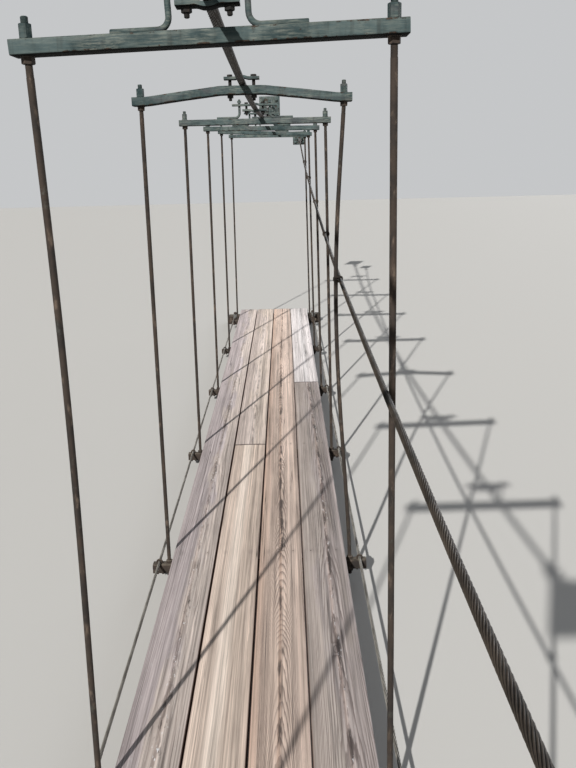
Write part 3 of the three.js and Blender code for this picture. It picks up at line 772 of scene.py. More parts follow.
def wire_rope(name, dark, bright_with_highlight, rust):
    """Wires lie side by side round each strand. The rope's mesh says where round the strand a point is."""
    finish = Finish(name, roughness=0.55, metallic=0.35)
    turn_cos, turn_sin, along = finish.split(finish.attribute("strand"))
    depth = finish.attribute("groove", "Fac")
    wires = finish.noise(finish.vector(turn_cos * 2, turn_sin * 2, along * 14), detail=3, roughness=0.6)
    place = finish.place()
    grime = finish.noise(place, scale=18, detail=5, roughness=0.65)
    fine = finish.noise(place, scale=240, detail=3)
    # Painted highlight: the wire crests are made brighter, on top of the wires' own random tone.
    crest_highlight_and_wire_tone = wires + (fine - 0.5) * 0.2 + (depth - 0.93) * 1.6
    colour = finish.mix(finish.ramp(crest_highlight_and_wire_tone, 0.36, 0.66), dark, bright_with_highlight)
    colour = finish.mix(finish.ramp(grime, 0.46, 0.66) * 0.45, colour, dark)
    rusted = finish.ramp(finish.noise(place, scale=40, detail=5), 0.52, 0.68)
    colour = finish.mix(rusted * rust, colour, RUST_BODY)
    # Painted shade with grease: deep in the grooves the colour goes nearly black.
    colour = finish.mix(finish.ramp(depth, 0.93, 0.72), colour, GREASE_AND_GROOVE_SHADE)
    finish.set("Base Color", colour)
    finish.set("Roughness", 0.45 + 0.35 * grime)
    finish.relief(wires * 0.5 + fine * 0.3, distance=0.0006, strength=0.8)
    return finish.material


def zinc():
    finish = Finish("galvanised_steel", roughness=0.45, metallic=0.75)
    place = finish.place()
    spangle = finish.cells(place, 260)
    broad = finish.noise(place, scale=30, detail=5, roughness=0.65)
    colour = finish.mix(finish.ramp(spangle, 0.1, 0.8), ZINC, ZINC_DULL)
    colour = finish.mix(finish.ramp(broad, 0.45, 0.65) * 0.7, colour, ZINC_DULL)
    rusted = finish.ramp(finish.noise(place, scale=75, detail=5), 0.6, 0.68)
    colour = finish.mix(rusted * 0.8, colour, RUST_BODY)
    finish.set("Base Color", colour)
    finish.set("Roughness", 0.4 + 0.3 * broad)
    finish.relief(broad + spangle * 0.3, distance=0.0004, strength=0.5)
    return finish.material


RUSTY = rusted_steel("rusty_steel", RUST_BODY, RUST_SHADE, RUST_WORN)
# Painted shade: a darker copy of the rusted steel, for the clamp bolts under the plates
CLAMP_BOLT_PAINTED_SHADE_STEEL = rusted_steel("rusty_steel_painted_shade", tone(19, 17, 15), tone(11, 10, 9), RUST_DARK)
BROWN_WIRE = wire_rope("brown_wire_rope", tone(17, 15, 13), tone(52, 46, 41), 0.3)
GREY_WIRE = wire_rope("grey_wire_rope", tone(28, 24, 20), tone(84, 75, 66), 0.3)
PALE_WIRE = wire_rope("pale_wire_rope", tone(90, 86, 80), tone(188, 184, 176), 0.2)
ZINCED = zinc()
print("rust, wire and zinc nodes:", [len(made.node_tree.nodes) for made in (RUSTY, PALE_WIRE, ZINCED)])

# %% [markdown]
# ## The deck
#
# Each plank is a 45 mm board with eased edges. It starts as a block, is subdivided lengthwise and across
# its top, and its vertices are then lifted by smooth noise: boards cup, wave and lose their straight
# edges as they dry. The two wide seams and the narrow one come from how far each edge is set back. The
# board's own width, length and seed go into attributes, which the wood finish reads.

# %% Planks
BOARD_EASE = 0.0045
BOARD_STEP = 0.03
TOP_CUTS = 27
# A dried board's cup, its long waves and short ripples, and how far its top lies lower by them
CUP, WAVE, RIPPLE, SETTLED = 0.0016, 0.0010, 0.0006, 0.0006
# The share of its half width past which a board is edge, and how deep its worn sweeps and nicks are
EDGE_FROM, WORN_SWEEP, WORN_NICKS = 0.93, 0.0005, 0.0004
# How far the left and the right edge of each lane are set back at the seams, in metres
EDGE_SET_BACK = [(0.0, 0.0020), (0.0018, 0.0018), (0.0015, 0.0), (0.0, 0.0)]
END_SET_BACK = 0.0020
# The grain goes on down the sides and ends of a board, a little closer than on its top
GRAIN_IN_DEPTH = 1.2
# Colour; then warmth (of the right edge, or of the left one where it is negative), specks and strength
# of figure; then arches per metre, ring count across and the heart line's place across; then the pale
# ribbon's place across, half width and strength
BOARDS = {
    "deck_plank_1_near": (tone(150, 142, 136), (0.45, 1.0, 0.6), (2.5, 900, 0.012), (0.03, 0.02, 0.05)),
    "deck_plank_1_far": (tone(193, 181, 174), (0.45, 1.0, 0.6), (2.5, 900, 0.012), (0.03, 0.02, 0.05)),
    "deck_plank_2_near": (tone(212, 198, 186), (0.55, 0.1, 0.4), (0.4, 420, 0.120), (-0.012, 0.036, 0.34)),
    "deck_plank_2_far": (tone(205, 191, 180), (0.35, 0.5, 0.6), (2.0, 900, 0.005), (0.0, 0.04, 0.12)),
    "deck_plank_3_near": (tone(209, 190, 176), (-0.9, 0.1, 1.0), (12, 2000, 0.0), (0.045, 0.02, 0.10)),
    "deck_plank_3_far": (tone(207, 187, 174), (-0.9, 0.1, 1.0), (14, 2600, 0.0), (0.045, 0.02, 0.10)),
    "deck_plank_4_near": (tone(168, 158, 152), (-0.45, 0.5, 1.0), (3.3, 1430, 0.020), (-0.02, 0.02, 0.06)),
    "deck_plank_4_far": (tone(213, 208, 208), (-0.1, 0.2, 0.35), (2.0, 1100, 0.010), (0.0, 0.03, 0.10)),
}


def lift_board(piece, low, high, seed, set_back):
    """Cup, waves and worn edges: the top and the sides move, the underside stays on the bearers."""
    middle_x = (low.x + high.x) / 2
    half = (high.x - low.x) / 2
    thickness = high.z - low.z
    for vertex in piece.data.vertices:
        x, y, z = vertex.co
        across = (x - middle_x) / half
        rise = max(0.0, (z - low.z) / thickness - 0.5) * 2
        wave = noise.noise((seed * 3.1, y * 0.9, 0.0)) * WAVE
        wave += noise.noise((x * 26, y * 4, seed)) * RIPPLE
        vertex.co.z = z + rise * (wave - CUP * across * across - SETTLED)
        to_end = y - (low.y + high.y) / 2
        if abs(to_end) > (high.y - low.y) / 2 - 1e-4:
            vertex.co.y = y - math.copysign(END_SET_BACK, to_end)
        if abs(across) > EDGE_FROM:
            side = 1 if across > 0 else -1
            back = set_back[0] if side < 0 else set_back[1]
            worn = noise.noise((seed + side * 5.3, y * 1.9, 1.0)) * WORN_SWEEP
            worn += noise.noise((seed + side * 8.7, y * 17, rise * 2)) * WORN_NICKS
            vertex.co.x = x - side * (back + worn)


ATTRIBUTE_FIELDS = {"FLOAT": "value", "FLOAT_VECTOR": "vector", "FLOAT_COLOR": "color"}


def vertex_places(mesh):
    """The place of every vertex, as rows of x, y and z."""
    place = np.empty(len(mesh.vertices) * 3, np.float32)
    mesh.vertices.foreach_get("co", place)
    return place.reshape(-1, 3)


def write_attribute(mesh, name, kind, values):
    """Keep a value on every vertex, for a finish to read."""
    layer = mesh.attributes.new(name, kind, "POINT")
    layer.data.foreach_set(ATTRIBUTE_FIELDS[kind], np.asarray(values, np.float32).ravel())


def write_board(mesh, low, high, seed, look):
    """Attributes that the wood finish reads: place on the board, its colour and its character."""
    tint, dress, figure, ribbon = look
    place = vertex_places(mesh)
    count = len(place)
    across = place[:, 0] - (low.x + high.x) / 2 + (place[:, 2] - high.z) * GRAIN_IN_DEPTH
    board = np.column_stack((across, place[:, 1] + seed * 3.7, np.full(count, seed)))
    from_end = np.minimum(place[:, 1] - low.y, high.y - place[:, 1])
    write_attribute(mesh, "board", "FLOAT_VECTOR", board)
    for name, values in (("dress", dress), ("figure", figure), ("ribbon", ribbon)):
        write_attribute(mesh, name, "FLOAT_VECTOR", np.tile(values, count))
    write_attribute(mesh, "tint", "FLOAT_COLOR", np.tile(tint, count))
    write_attribute(mesh, "from_end", "FLOAT", from_end)


def plank(node, seed, look):
    low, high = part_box(node)
    piece = block(high - low, (low + high) / 2, bevel=BOARD_EASE, segments=3, edges=runs_along(1))
    with editing(piece):
        choose(piece, "EDGE", runs_along(1))
        bpy.ops.mesh.subdivide(number_cuts=round((high.y - low.y) / BOARD_STEP))
        on_top = high.z - 1e-5
        choose(piece, "EDGE", lambda edge: runs_along(0)(edge) and min(v.co.z for v in edge.verts) > on_top)
        bpy.ops.mesh.subdivide(number_cuts=TOP_CUTS)
    lane = int(node.split("_")[2]) - 1
    lift_board(piece, low, high, seed, EDGE_SET_BACK[lane])
    write_board(piece.data, low, high, seed, look)
    piece.name = node.replace("deck_", "")
    return finish_piece(piece, WOOD, "weathered_wood", node)


planks = [plank(node, 1.0 + number * 1.7, look) for number, (node, look) in enumerate(BOARDS.items())]
print("planks:", len(planks), "faces:", sum(len(piece.data.polygons) for piece in planks))

# %% [markdown]
# ## Nails
#
# Every board is nailed down with two nails at each bearer. Where two planks of a lane meet on a bearer,
# both ends are nailed. One domed head is modelled and copied, and all the heads are joined in one piece.

# %% Nails
NAIL_HEAD = [(0.0026, -0.003), (0.0035, 0.0001), (0.0031, 0.0008), (0.0018, 0.0012)]
JOINT_NAIL_OFFSET = 0.013
NAIL_SINK = 0.0022
NAIL_STRAY_X, NAIL_STRAY_Y = 0.006, 0.005


def lane_middle(lane):
    low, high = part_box(f"deck_plank_{lane}_near")
    return (low.x + high.x) / 2


def nail_rows(lane):
    """The places along a lane where it is nailed: one row at a bearer, two at a joint."""
    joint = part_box(f"deck_plank_{lane}_near")[1].y
    rows = []
    for y in frame_y:
        at_joint = abs(y - joint) < 0.01
        rows += [y - JOINT_NAIL_OFFSET, y + JOINT_NAIL_OFFSET] if at_joint else [y]
    return rows


head = turned(NAIL_HEAD, sides=10)
heads = []
for lane in (1, 2, 3, 4):
    for y in nail_rows(lane):
        for side in (-1, 1):
            shift_x = noise.noise((lane * 7.3 + side, y, 2.0)) * NAIL_STRAY_X
            shift_y = noise.noise((lane * 5.1 + side, y, 9.0)) * NAIL_STRAY_Y
            nail_x = lane_middle(lane) + side * NAIL_OFFSET + shift_x
            heads.append(copied(head, move(nail_x, y + shift_y, deck_top - NAIL_SINK)))
throw_away(head)
finish_piece(joined("deck_nails", heads), RUSTY, "rusty_steel")
print("nails:", len(heads))

# %% [markdown]
# ## Nuts, threads and bolts
#
# A hexagon nut is a six-sided bar whose corners are turned off by a cone, so its end faces are round.
# The cone is a second solid, and a boolean keeps what lies in both. It reaches past both ends of the
# nut, because a boolean of faces that lie in one plane can leave one of them open. A thread is modelled
# as a stack of ridges, one turn repeated by an Array modifier. From a step away it can't be told from a
# helix.

# %% Nuts and threads
NUT_FACE = 0.485
NUT_CHAMFER = math.radians(30)
THREAD_CORE = 0.9
# The width across the flats and the height of each nut and bolt head, in metres
M16_FLATS, M16_HEIGHT, M16_TALL_HEIGHT = 0.024, 0.013, 0.028
M12_FLATS, M12_HEIGHT, M12_HEAD_HEIGHT = 0.019, 0.011, 0.008
M8_FLATS, M8_HEIGHT = 0.013, 0.0065


def hex_nut(flats, height):
    """A nut that lies on z = 0, with both ends chamfered."""
    corner = flats / math.sqrt(3)
    face = flats * NUT_FACE
    slope = (corner - face) * math.tan(NUT_CHAMFER) * 1.1
    nut = turned([(corner, 0), (corner, height)], sides=6)
    clear = corner * 1.02
    past = height * 0.1
    tip = face - past * (clear - face) / slope
    cone = turned([(tip, -past), (clear, slope), (clear, height - slope), (tip, height + past)], sides=24)
    cut(nut, cone, operation="INTERSECT")
    with editing(nut):
        choose(nut, "FACE", lambda f: 0.3 < abs(f.normal.z) < 0.97)
        mark_worn(nut)
    return nut


def threaded(radius, pitch, length, sides=12):
    """A threaded length from z = 0 upwards: one ridge, repeated and closed at both ends."""
    core = radius * THREAD_CORE
    ridge = turned([(core, 0), (radius, pitch * 0.5), (core, pitch)], sides)
    with editing(ridge):
        choose(ridge, "FACE", lambda face: abs(face.normal.z) > 0.99)
        bpy.ops.mesh.delete(type="FACE")
    repeated(ridge, round(length / pitch), (0, 0, pitch), merge=1e-5)
    with editing(ridge):
        bpy.ops.mesh.select_all(action="SELECT")
        bpy.ops.mesh.fill_holes(sides=sides)
    return close_up(ridge)


def washer(radius, thickness):
    return turned([(radius * 0.94, 0), (radius, thickness * 0.3), (radius, thickness * 0.7),
                   (radius * 0.94, thickness)], sides=20)


def rod_end(radius, length, pitch=0.002, sides=12):
    """A threaded end with a turned tip."""
    thread = threaded(radius, pitch, length, sides)
    top = round(length / pitch) * pitch
    tip = turned([(radius * 0.88, top - pitch), (radius * 0.88, top), (radius * 0.7, top + 0.0012)], sides)
    return joined("rod_end", [thread, tip])


def weld_bead(length, radius=0.0035, ripple=0.0026):
    """A rippled weld bead along X, made of overlapping beads."""
    bead = turned([(radius * 0.55, 0), (radius, ripple * 0.5), (radius * 0.86, ripple)], sides=8)
    repeated(bead, round(length / ripple), (0, 0, ripple))
    return placed(bead, turn(90, "Y"), move(x=-length / 2))


M16_NUT = hex_nut(M16_FLATS, M16_HEIGHT)
M16_TALL_NUT = hex_nut(M16_FLATS, M16_TALL_HEIGHT)
M12_NUT = hex_nut(M12_FLATS, M12_HEIGHT)
M12_HEAD = hex_nut(M12_FLATS, M12_HEAD_HEIGHT)
M8_NUT = hex_nut(M8_FLATS, M8_HEIGHT)
masters = [M16_NUT, M16_TALL_NUT, M12_NUT, M12_HEAD, M8_NUT]
print("nut faces:", [len(master.data.polygons) for master in masters])

# %% [markdown]
# ## Cross bearers
#
# Under the deck, a square hollow bar carries the planks at each frame. Its ends stick out and are open,
# so the wall shows. It is a rounded block with a smaller one cut out of it, drilled for the two hanger
# rods. A U-bolt at each end ties the side rope down to it.

# %% Bearers and their U-bolts
BEARER = 0.04
BEARER_WALL = 0.003
BEARER_LENGTH = 0.92
HANGER_FOOT_X = 0.390
HANGER_HOLE = 0.021
SIDE_ROPE_X = 0.432
SIDE_ROPE = 0.012
SEAT = 0.0003
# The U-bolts: their rod, their play about the rope, their legs past the bearer and their nuts' place
U_BOLT_ROD, U_BOLT_PLAY, U_BOLT_END, U_BOLT_NUT_LOW = 0.004, 0.0006, 0.012, 0.0067


def drill(radius, x, y=0.0, depth=0.2):
    """A round tool for a hole along Z."""
    return placed(turned([(radius, -depth / 2), (radius, depth / 2)], sides=20), move(x, y))


def u_bolt(inside, rod, leg, sides=10):
    """A rod bent over a rope that runs along Y: its legs point down and the bend's middle is the origin."""
    reach = inside + rod
    piece = placed(disc(rod, 0, sides), move(x=-reach, z=-leg))
    with editing(piece):
        choose(piece, "FACE", lambda face: True)
        pull(z=leg)
        bpy.ops.mesh.spin(steps=10, angle=-math.pi, center=(0, 0, 0), axis=(0, 1, 0))
        pull(z=-leg)
    return close_up(piece)


def tied_u_bolt(side):
    """The U-bolt over a side rope, with its nuts under the bearer. The bearer's middle is the origin."""
    over = BEARER / 2 + SEAT + SIDE_ROPE / 2
    inside = SIDE_ROPE / 2 + U_BOLT_PLAY
    leg = over + BEARER / 2 + U_BOLT_END
    parts = [placed(u_bolt(inside, U_BOLT_ROD, leg), move(side * SIDE_ROPE_X, 0, over))]
    for hand in (-1, 1):
        x = side * SIDE_ROPE_X + hand * (inside + U_BOLT_ROD)
        parts.append(copied(M8_NUT, move(x, 0, -BEARER / 2 - U_BOLT_NUT_LOW)))
    return parts


beam = block((BEARER_LENGTH, BEARER, BEARER), bevel=0.005, segments=3, edges=runs_along(0))
hollow = BEARER - 2 * BEARER_WALL
cut(beam, block((1.0, hollow, hollow), bevel=0.002, segments=2, edges=runs_along(0)))
cut(beam, drill(HANGER_HOLE / 2, -HANGER_FOOT_X), drill(HANGER_HOLE / 2, HANGER_FOOT_X))
bearer_master = joined("bearer_master", [beam, *tied_u_bolt(-1), *tied_u_bolt(1)])
for number in FRAMES:
    low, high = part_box(f"cross_bearer_{number}")
    bearer = copied(bearer_master, Matrix.Translation((low + high) / 2))
    bearer.name = f"bearer_{number}"
    finish_piece(bearer, RUSTY, "rusty_steel", f"cross_bearer_{number}")
print("bearer faces:", len(bearer_master.data.polygons))
throw_away(bearer_master)

# %% [markdown]
# ## Where each frame hangs
#
# The main rope is a parabola over the deck's centre line. Each yoke was levelled by eye on site, so it
# hangs at its own height and a little askew, swung about the rope. Yoke, clamp and hangers are modelled
# upright about their own middles, and the same few numbers put them in place.

# %% Places on the rope
CABLE_LOW_Y, CABLE_LOW_Z, CABLE_CURVE = 3.930, 1.880, 0.0104
YOKE_Z = [1.868, 1.856, 1.830, 1.811, 1.824, 1.833, 1.845]
YOKE_ASKEW = [0.6, 1.7, 0, 0, -0.6, -2.4, -0.5]
CRANKED_FRAME = 2
HANGER_TOP_SPREAD = 0.370
MAIN_ROPE = 0.026


def rope_z(y):
    return deck_top + CABLE_LOW_Z + CABLE_CURVE * (y - deck_start - CABLE_LOW_Y) ** 2


def rope_slope(y):
    """The rope's slope at a place, in degrees, positive where it climbs away from the near end."""
    return math.degrees(math.atan(2 * CABLE_CURVE * (y - deck_start - CABLE_LOW_Y)))


def rope_above(i):
    """Height of the rope's middle line over the yoke bar's middle line."""
    return rope_z(frame_y[i]) - deck_top - YOKE_Z[i]


def hung(i):
    """The place of a part that hangs at frame i, made about the rope's middle line."""
    return move(0, frame_y[i], rope_z(frame_y[i])) @ turn(-YOKE_ASKEW[i], "Y")


def yoke_place(i):
    return hung(i) @ move(z=-rope_above(i))


print("rope over the yokes:", [round(rope_above(i), 3) for i in FRAMES])

# %% [markdown]
# ## Yokes
#
# A yoke is a flat steel bar, 60 mm deep and 30 mm high, that spreads the two hangers. Two bent rods
# stand on it and reach up to the clamp: each turns outwards at its foot and is welded along the bar. A
# disc is pulled down for the shank, spun through a quarter turn for the bend and pulled out for the leg.
# One yoke near the rope's low point has no room for rods, so its bar is cranked up to meet the rope.

# %% Yoke parts
YOKE_LENGTH, YOKE_DEPTH, YOKE_HEIGHT = 0.796, 0.060, 0.030
STEM, STEM_X, STEM_BEND, STEM_LEG, WELD_SINK = 0.013, 0.080, 0.024, 0.096, 0.0015
CLAMP_GRIP, CLAMP_PLATE = 0.01251, 0.010
STEM_THREAD, STEM_PAST_NUT = 0.038, 0.006
NUT_HALF_WIDTH = 0.011
BAR_CORNER = 0.004
# The bulged end caps: the pitch of their ridges, how far they are flattened, and how much they fill
CAP_PITCH, CAP_FLATTENED, CAP_FILL, CAP_SINK = 0.0028, 0.6, 0.93, 0.0017
CRANK_FLAT, CRANK_RUN, CRANK_SHOULDER, CRANK_SEAT = 0.150, 0.120, 0.6, 0.346


def yoke_bar(line):
    """A bar along a line of (x, z) points, drilled for the hangers and capped at both ends."""
    bar = drawn((YOKE_DEPTH, YOKE_HEIGHT), [(x, 0, z) for x, z in line], corner=BAR_CORNER)
    for side in (-1, 1):
        cut(bar, drill(HANGER_HOLE / 2, side * HANGER_TOP_SPREAD))
    oval = Matrix.Diagonal((CAP_FLATTENED, YOKE_DEPTH / YOKE_HEIGHT * CAP_FILL, CAP_FILL, 1))
    parts = [bar]
    for side in (-1, 1):
        cap = threaded(YOKE_HEIGHT * 0.5, CAP_PITCH, CAP_PITCH * 2, sides=24)
        to_end = move(side * (YOKE_LENGTH / 2 - BAR_CORNER) - CAP_SINK)
        parts.append(placed(cap, turn(90, "Y"), oval, to_end))
    return parts


def both_ways(right):
    """A line of (x, z) points from its right half, which is mirrored for the left."""
    return [(-x, z) for x, z in reversed(right)] + right


def bent_stem(top):
    """A rod on the right of the bar, from its threaded top down to its welded leg."""
    foot = YOKE_HEIGHT / 2 + STEM / 2 - WELD_SINK
    shank_top = top - STEM_THREAD
    rod = disc(STEM / 2, shank_top, 14)
    with editing(rod):
        choose(rod, "FACE", lambda face: True)
        pull(z=foot + STEM_BEND - shank_top)
        centre = (STEM_BEND, 0, foot + STEM_BEND)
        bpy.ops.mesh.spin(steps=8, angle=math.pi / 2, center=centre, axis=(0, 1, 0))
        pull(x=STEM_LEG)
        bpy.ops.mesh.bevel(offset=0.002, segments=2, affect="EDGES")
    close_up(rod)
    parts = [rod, placed(rod_end(STEM / 2, STEM_THREAD), move(z=shank_top))]
    for side in (-1, 1):
        beside = move(STEM_BEND + STEM_LEG / 2, side * (STEM / 2 - 0.0005), YOKE_HEIGHT / 2 + 0.0008)
        parts.append(placed(weld_bead(STEM_LEG - 0.01), beside))
    return placed(joined("stem", parts), move(x=STEM_X))


def straight_yoke(i):
    lean = abs(math.radians(rope_slope(frame_y[i])))
    plate_top = (CLAMP_GRIP + CLAMP_PLATE) / math.cos(lean)
    nut_low = rope_above(i) + plate_top + NUT_HALF_WIDTH * math.tan(lean) + SEAT
    parts = yoke_bar(both_ways([(YOKE_LENGTH / 2, 0)]))
    stem = bent_stem(nut_low + M12_HEIGHT + STEM_PAST_NUT)
    for place in (Matrix.Identity(4), turn(180, "Z")):
        parts.append(copied(stem, place))
        parts.append(copied(M12_NUT, place @ move(STEM_X, 0, nut_low) @ turn(17 * i, "Z")))
    throw_away(stem)
    return parts


def cranked_yoke(i):
    lean = abs(math.tan(math.radians(rope_slope(frame_y[i]))))
    rise = rope_above(i) - CLAMP_GRIP - YOKE_DEPTH / 2 * lean - YOKE_HEIGHT / 2
    half, flat, bend = YOKE_LENGTH / 2, CRANK_FLAT / 2, CRANK_FLAT / 2 + CRANK_RUN
    shoulder = rise * CRANK_SHOULDER
    right = [(flat - 0.008, rise), (flat + 0.01, rise * 0.975), (bend - 0.01, shoulder * 1.03),
             (bend + 0.01, shoulder * 0.93), (CRANK_SEAT - 0.01, 0.0015), (CRANK_SEAT + 0.01, 0), (half, 0)]
    return yoke_bar(both_ways(right))


yokes = []
for i in FRAMES:
    parts = cranked_yoke(i) if i == CRANKED_FRAME else straight_yoke(i)
    yoke = placed(joined(f"yoke_bar_{i}", parts), yoke_place(i))
    yokes.append(finish_piece(yoke, GREEN, "green_painted_steel", f"yoke_{i}"))
print("yoke faces:", [len(yoke.data.polygons) for yoke in yokes])

# %% [markdown]
# ## Cable clamps
#
# A clamp is two plates with the rope between them, pulled together by two bolts. The plates are pressed
# to a saddle where they pass over the rope. The plate is drawn like a bar, through points that follow
# the rope's round, and the holes for the yoke's rods are drilled in it. On the cranked yoke the bar
# itself is the lower plate. The bolts were never painted and are rusty, and their finish is made darker
# still as painted shade, because they sit in shade under the plates.

# %% Clamps
CLAMP_TOP_LENGTH, CLAMP_SHORT_LENGTH, CLAMP_WIDTH = 0.235, 0.128, 0.040
CLAMP_BOLT_X, CLAMP_BOLT, CLAMP_BOLT_THREAD, CLAMP_BOLT_PITCH = 0.043, 0.012, 0.020, 0.00175
SADDLE_DIP, SADDLE_HALF = 0.0045, 0.024
STEM_HOLE = 0.017


def saddle_plate(length):
    """A plate over the rope, with its saddle along the rope. The rope's middle line is the origin."""
    level = CLAMP_GRIP + CLAMP_PLATE / 2
    flat = level - SADDLE_DIP
    half = length / 2
    right = [(0.006, level), (0.012, level - 0.0009), (0.017, level - 0.0026),
             (SADDLE_HALF - 0.003, flat + 0.0006), (SADDLE_HALF + 0.002, flat), (half, flat)]
    return drawn((CLAMP_WIDTH, CLAMP_PLATE), [(x, 0, z) for x, z in both_ways(right)], corner=0.0015)


def clamp_bolt(side, head_low, nut_high):
    """A bolt with its head above, its nut below and its thread showing under the nut."""
    x = side * CLAMP_BOLT_X
    thread = rod_end(CLAMP_BOLT / 2, CLAMP_BOLT_THREAD, pitch=CLAMP_BOLT_PITCH)
    shank = turned([(CLAMP_BOLT / 2, nut_high - 0.001), (CLAMP_BOLT / 2, head_low + 0.002)], sides=12)
    return [placed(shank, move(x=x)),
            placed(thread, move(x, 0, nut_high) @ turn(180, "X")),
            copied(M12_HEAD, move(x, 0, head_low) @ turn(11 + side * 9, "Z")),
            copied(M12_NUT, move(x, 0, nut_high - M12_HEIGHT) @ turn(25 - side * 13, "Z"))]


def clamp(i, bolts):
    """The plates of one clamp, as a piece. Its bolts are added to the list of all bolts."""
    y = frame_y[i]
    on_yoke = i == CRANKED_FRAME
    top = saddle_plate(CLAMP_SHORT_LENGTH if on_yoke else CLAMP_TOP_LENGTH)
    parts = [top]
    head_low = CLAMP_GRIP + CLAMP_PLATE - SADDLE_DIP
    if on_yoke:
        lean = abs(math.tan(math.radians(rope_slope(y))))
        nut_high = -CLAMP_GRIP - YOKE_DEPTH / 2 * lean - YOKE_HEIGHT - SEAT
    else:
        offset = (CLAMP_GRIP + CLAMP_PLATE / 2) * math.tan(math.radians(rope_slope(y)))
        cut(top, drill(STEM_HOLE / 2, -STEM_X, offset), drill(STEM_HOLE / 2, STEM_X, offset))
        parts.append(placed(saddle_plate(CLAMP_SHORT_LENGTH), turn(180, "Y")))
        nut_high = -CLAMP_GRIP - CLAMP_PLATE + SADDLE_DIP
    place = hung(i) @ turn(0 if on_yoke else rope_slope(y), "X")
    for side in (-1, 1):
        bolts.append(placed(joined("clamp_bolt", clamp_bolt(side, head_low, nut_high)), place))
    piece = placed(joined(f"clamp_{i}", parts), place)
    return finish_piece(piece, GREEN, "green_painted_steel", f"cable_clamp_{i}")


all_bolts = []
clamps = [clamp(i, all_bolts) for i in FRAMES]
# The bolts take the darker steel, which is painted shade under the plates.
finish_piece(joined("clamp_bolts", all_bolts), CLAMP_BOLT_PAINTED_SHADE_STEEL, "rusty_steel")
print("clamp faces:", [len(piece.data.polygons) for piece in clamps])

# %% [markdown]
# ## Hangers
#
# A hanger is a 16 mm rod, threaded at both ends. A tall nut and a washer carry it on the yoke, a lock nut
# grips the yoke from below, and the bearer is held between two more nuts. The threads, nuts and washers
# are modelled once as a top set and a foot set. Only the plain shank between them changes its length. Two
# rods have been bent inwards in use. They are made straight as well, and then every vertex is moved
# sideways by the bow at its height, which is deepest a little above the middle of the rod. What sits on
# top of the yoke was painted with it, so the tall nuts and thread ends are pieces of their own.

# %% Hangers
HANGER = 0.016
LOW_NUT, THREAD_PAST_NUT = 0.014, 0.015
TOP_THREAD, FOOT_THREAD = 0.118, 0.110
WASHER_RADIUS, WASHER = 0.0155, 0.0025
SHANK_STEPS, SHANK_WANDER, SHANK_LAP, END_LAP = 36, 0.00025, 0.004, 0.003
# How far a rod's end lies under its bearer's middle, and over its yoke's
FOOT_TIP = BEARER / 2 + SEAT + LOW_NUT + THREAD_PAST_NUT
TOP_TIP = YOKE_HEIGHT / 2 + SEAT + M16_TALL_HEIGHT + THREAD_PAST_NUT
# Two bent rods, by side and frame, and how far each one bows inwards
ROD_BOW = {(-1, 1): 0.013, (1, 2): 0.042}
BOW_SKEW, BOW_SHARPNESS = 0.8, 1.5


def painted_top():
    """The tall nut, washer and thread end over the yoke. The bar's middle is the origin."""
    on_bar = YOKE_HEIGHT / 2
    end = rod_end(HANGER / 2, THREAD_PAST_NUT + END_LAP, sides=14)
    parts = [placed(end, move(z=on_bar + SEAT + M16_TALL_HEIGHT - END_LAP)),
             placed(washer(WASHER_RADIUS, WASHER), move(z=on_bar)),
             copied(M16_TALL_NUT, move(z=on_bar + WASHER))]
    return joined("painted_top", parts)


def top_set():
    """What sits on a rod from inside the yoke down. The bar's middle is the origin."""
    thread = rod_end(HANGER / 2, TOP_THREAD - M16_TALL_HEIGHT - THREAD_PAST_NUT, sides=14)
    thread_low = YOKE_HEIGHT / 2 - 0.002 - TOP_THREAD + M16_TALL_HEIGHT + THREAD_PAST_NUT
    ring_low = -YOKE_HEIGHT / 2 - WASHER
    parts = [placed(thread, move(z=thread_low)),
             placed(washer(WASHER_RADIUS, WASHER), move(z=ring_low)),
             copied(M16_NUT, move(z=ring_low - M16_HEIGHT) @ turn(20, "Z"))]
    return joined("top_set", parts)


def foot_set():
    """What sits on a rod at the bearer. The bearer's middle is the origin."""
    thread = rod_end(HANGER / 2, FOOT_THREAD, sides=14)
    ring_low = -BEARER / 2 - WASHER
    parts = [placed(thread, move(z=FOOT_THREAD - FOOT_TIP) @ turn(180, "X")),
             placed(washer(WASHER_RADIUS, WASHER), move(z=ring_low)),
             placed(washer(WASHER_RADIUS, WASHER), move(z=BEARER / 2)),
             copied(M16_NUT, move(z=ring_low - M16_HEIGHT)),
             copied(M16_NUT, move(z=BEARER / 2 + WASHER) @ turn(35, "Z"))]
    return joined("foot_set", parts)


def hanger_line(side, i):
    """The ends of a hanger's line, in the middles of its yoke and its bearer."""
    top = yoke_place(i) @ Vector((side * HANGER_TOP_SPREAD, 0, 0))
    low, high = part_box(f"cross_bearer_{i}")
    foot = Vector((side * HANGER_FOOT_X, frame_y[i], (low.z + high.z) / 2))
    return top, foot


def bow_of(side, i, share):
    """How far a rod stands in from its straight line, at a share of its length below its top."""
    depth = ROD_BOW.get((side, i), 0.0)
    share = min(max(share, 0.0), 1.0)
    return depth * max(0.0, math.sin(math.pi * share ** BOW_SKEW)) ** BOW_SHARPNESS


def upright_place(side, i):
    """The place of a rod that was made upright with its foot at the origin, and its span."""
    top, foot = hanger_line(side, i)
    lean = math.degrees(math.atan2(top.x - foot.x, top.z - foot.z))
    return Matrix.Translation(foot) @ turn(lean, "Y"), (top - foot).length


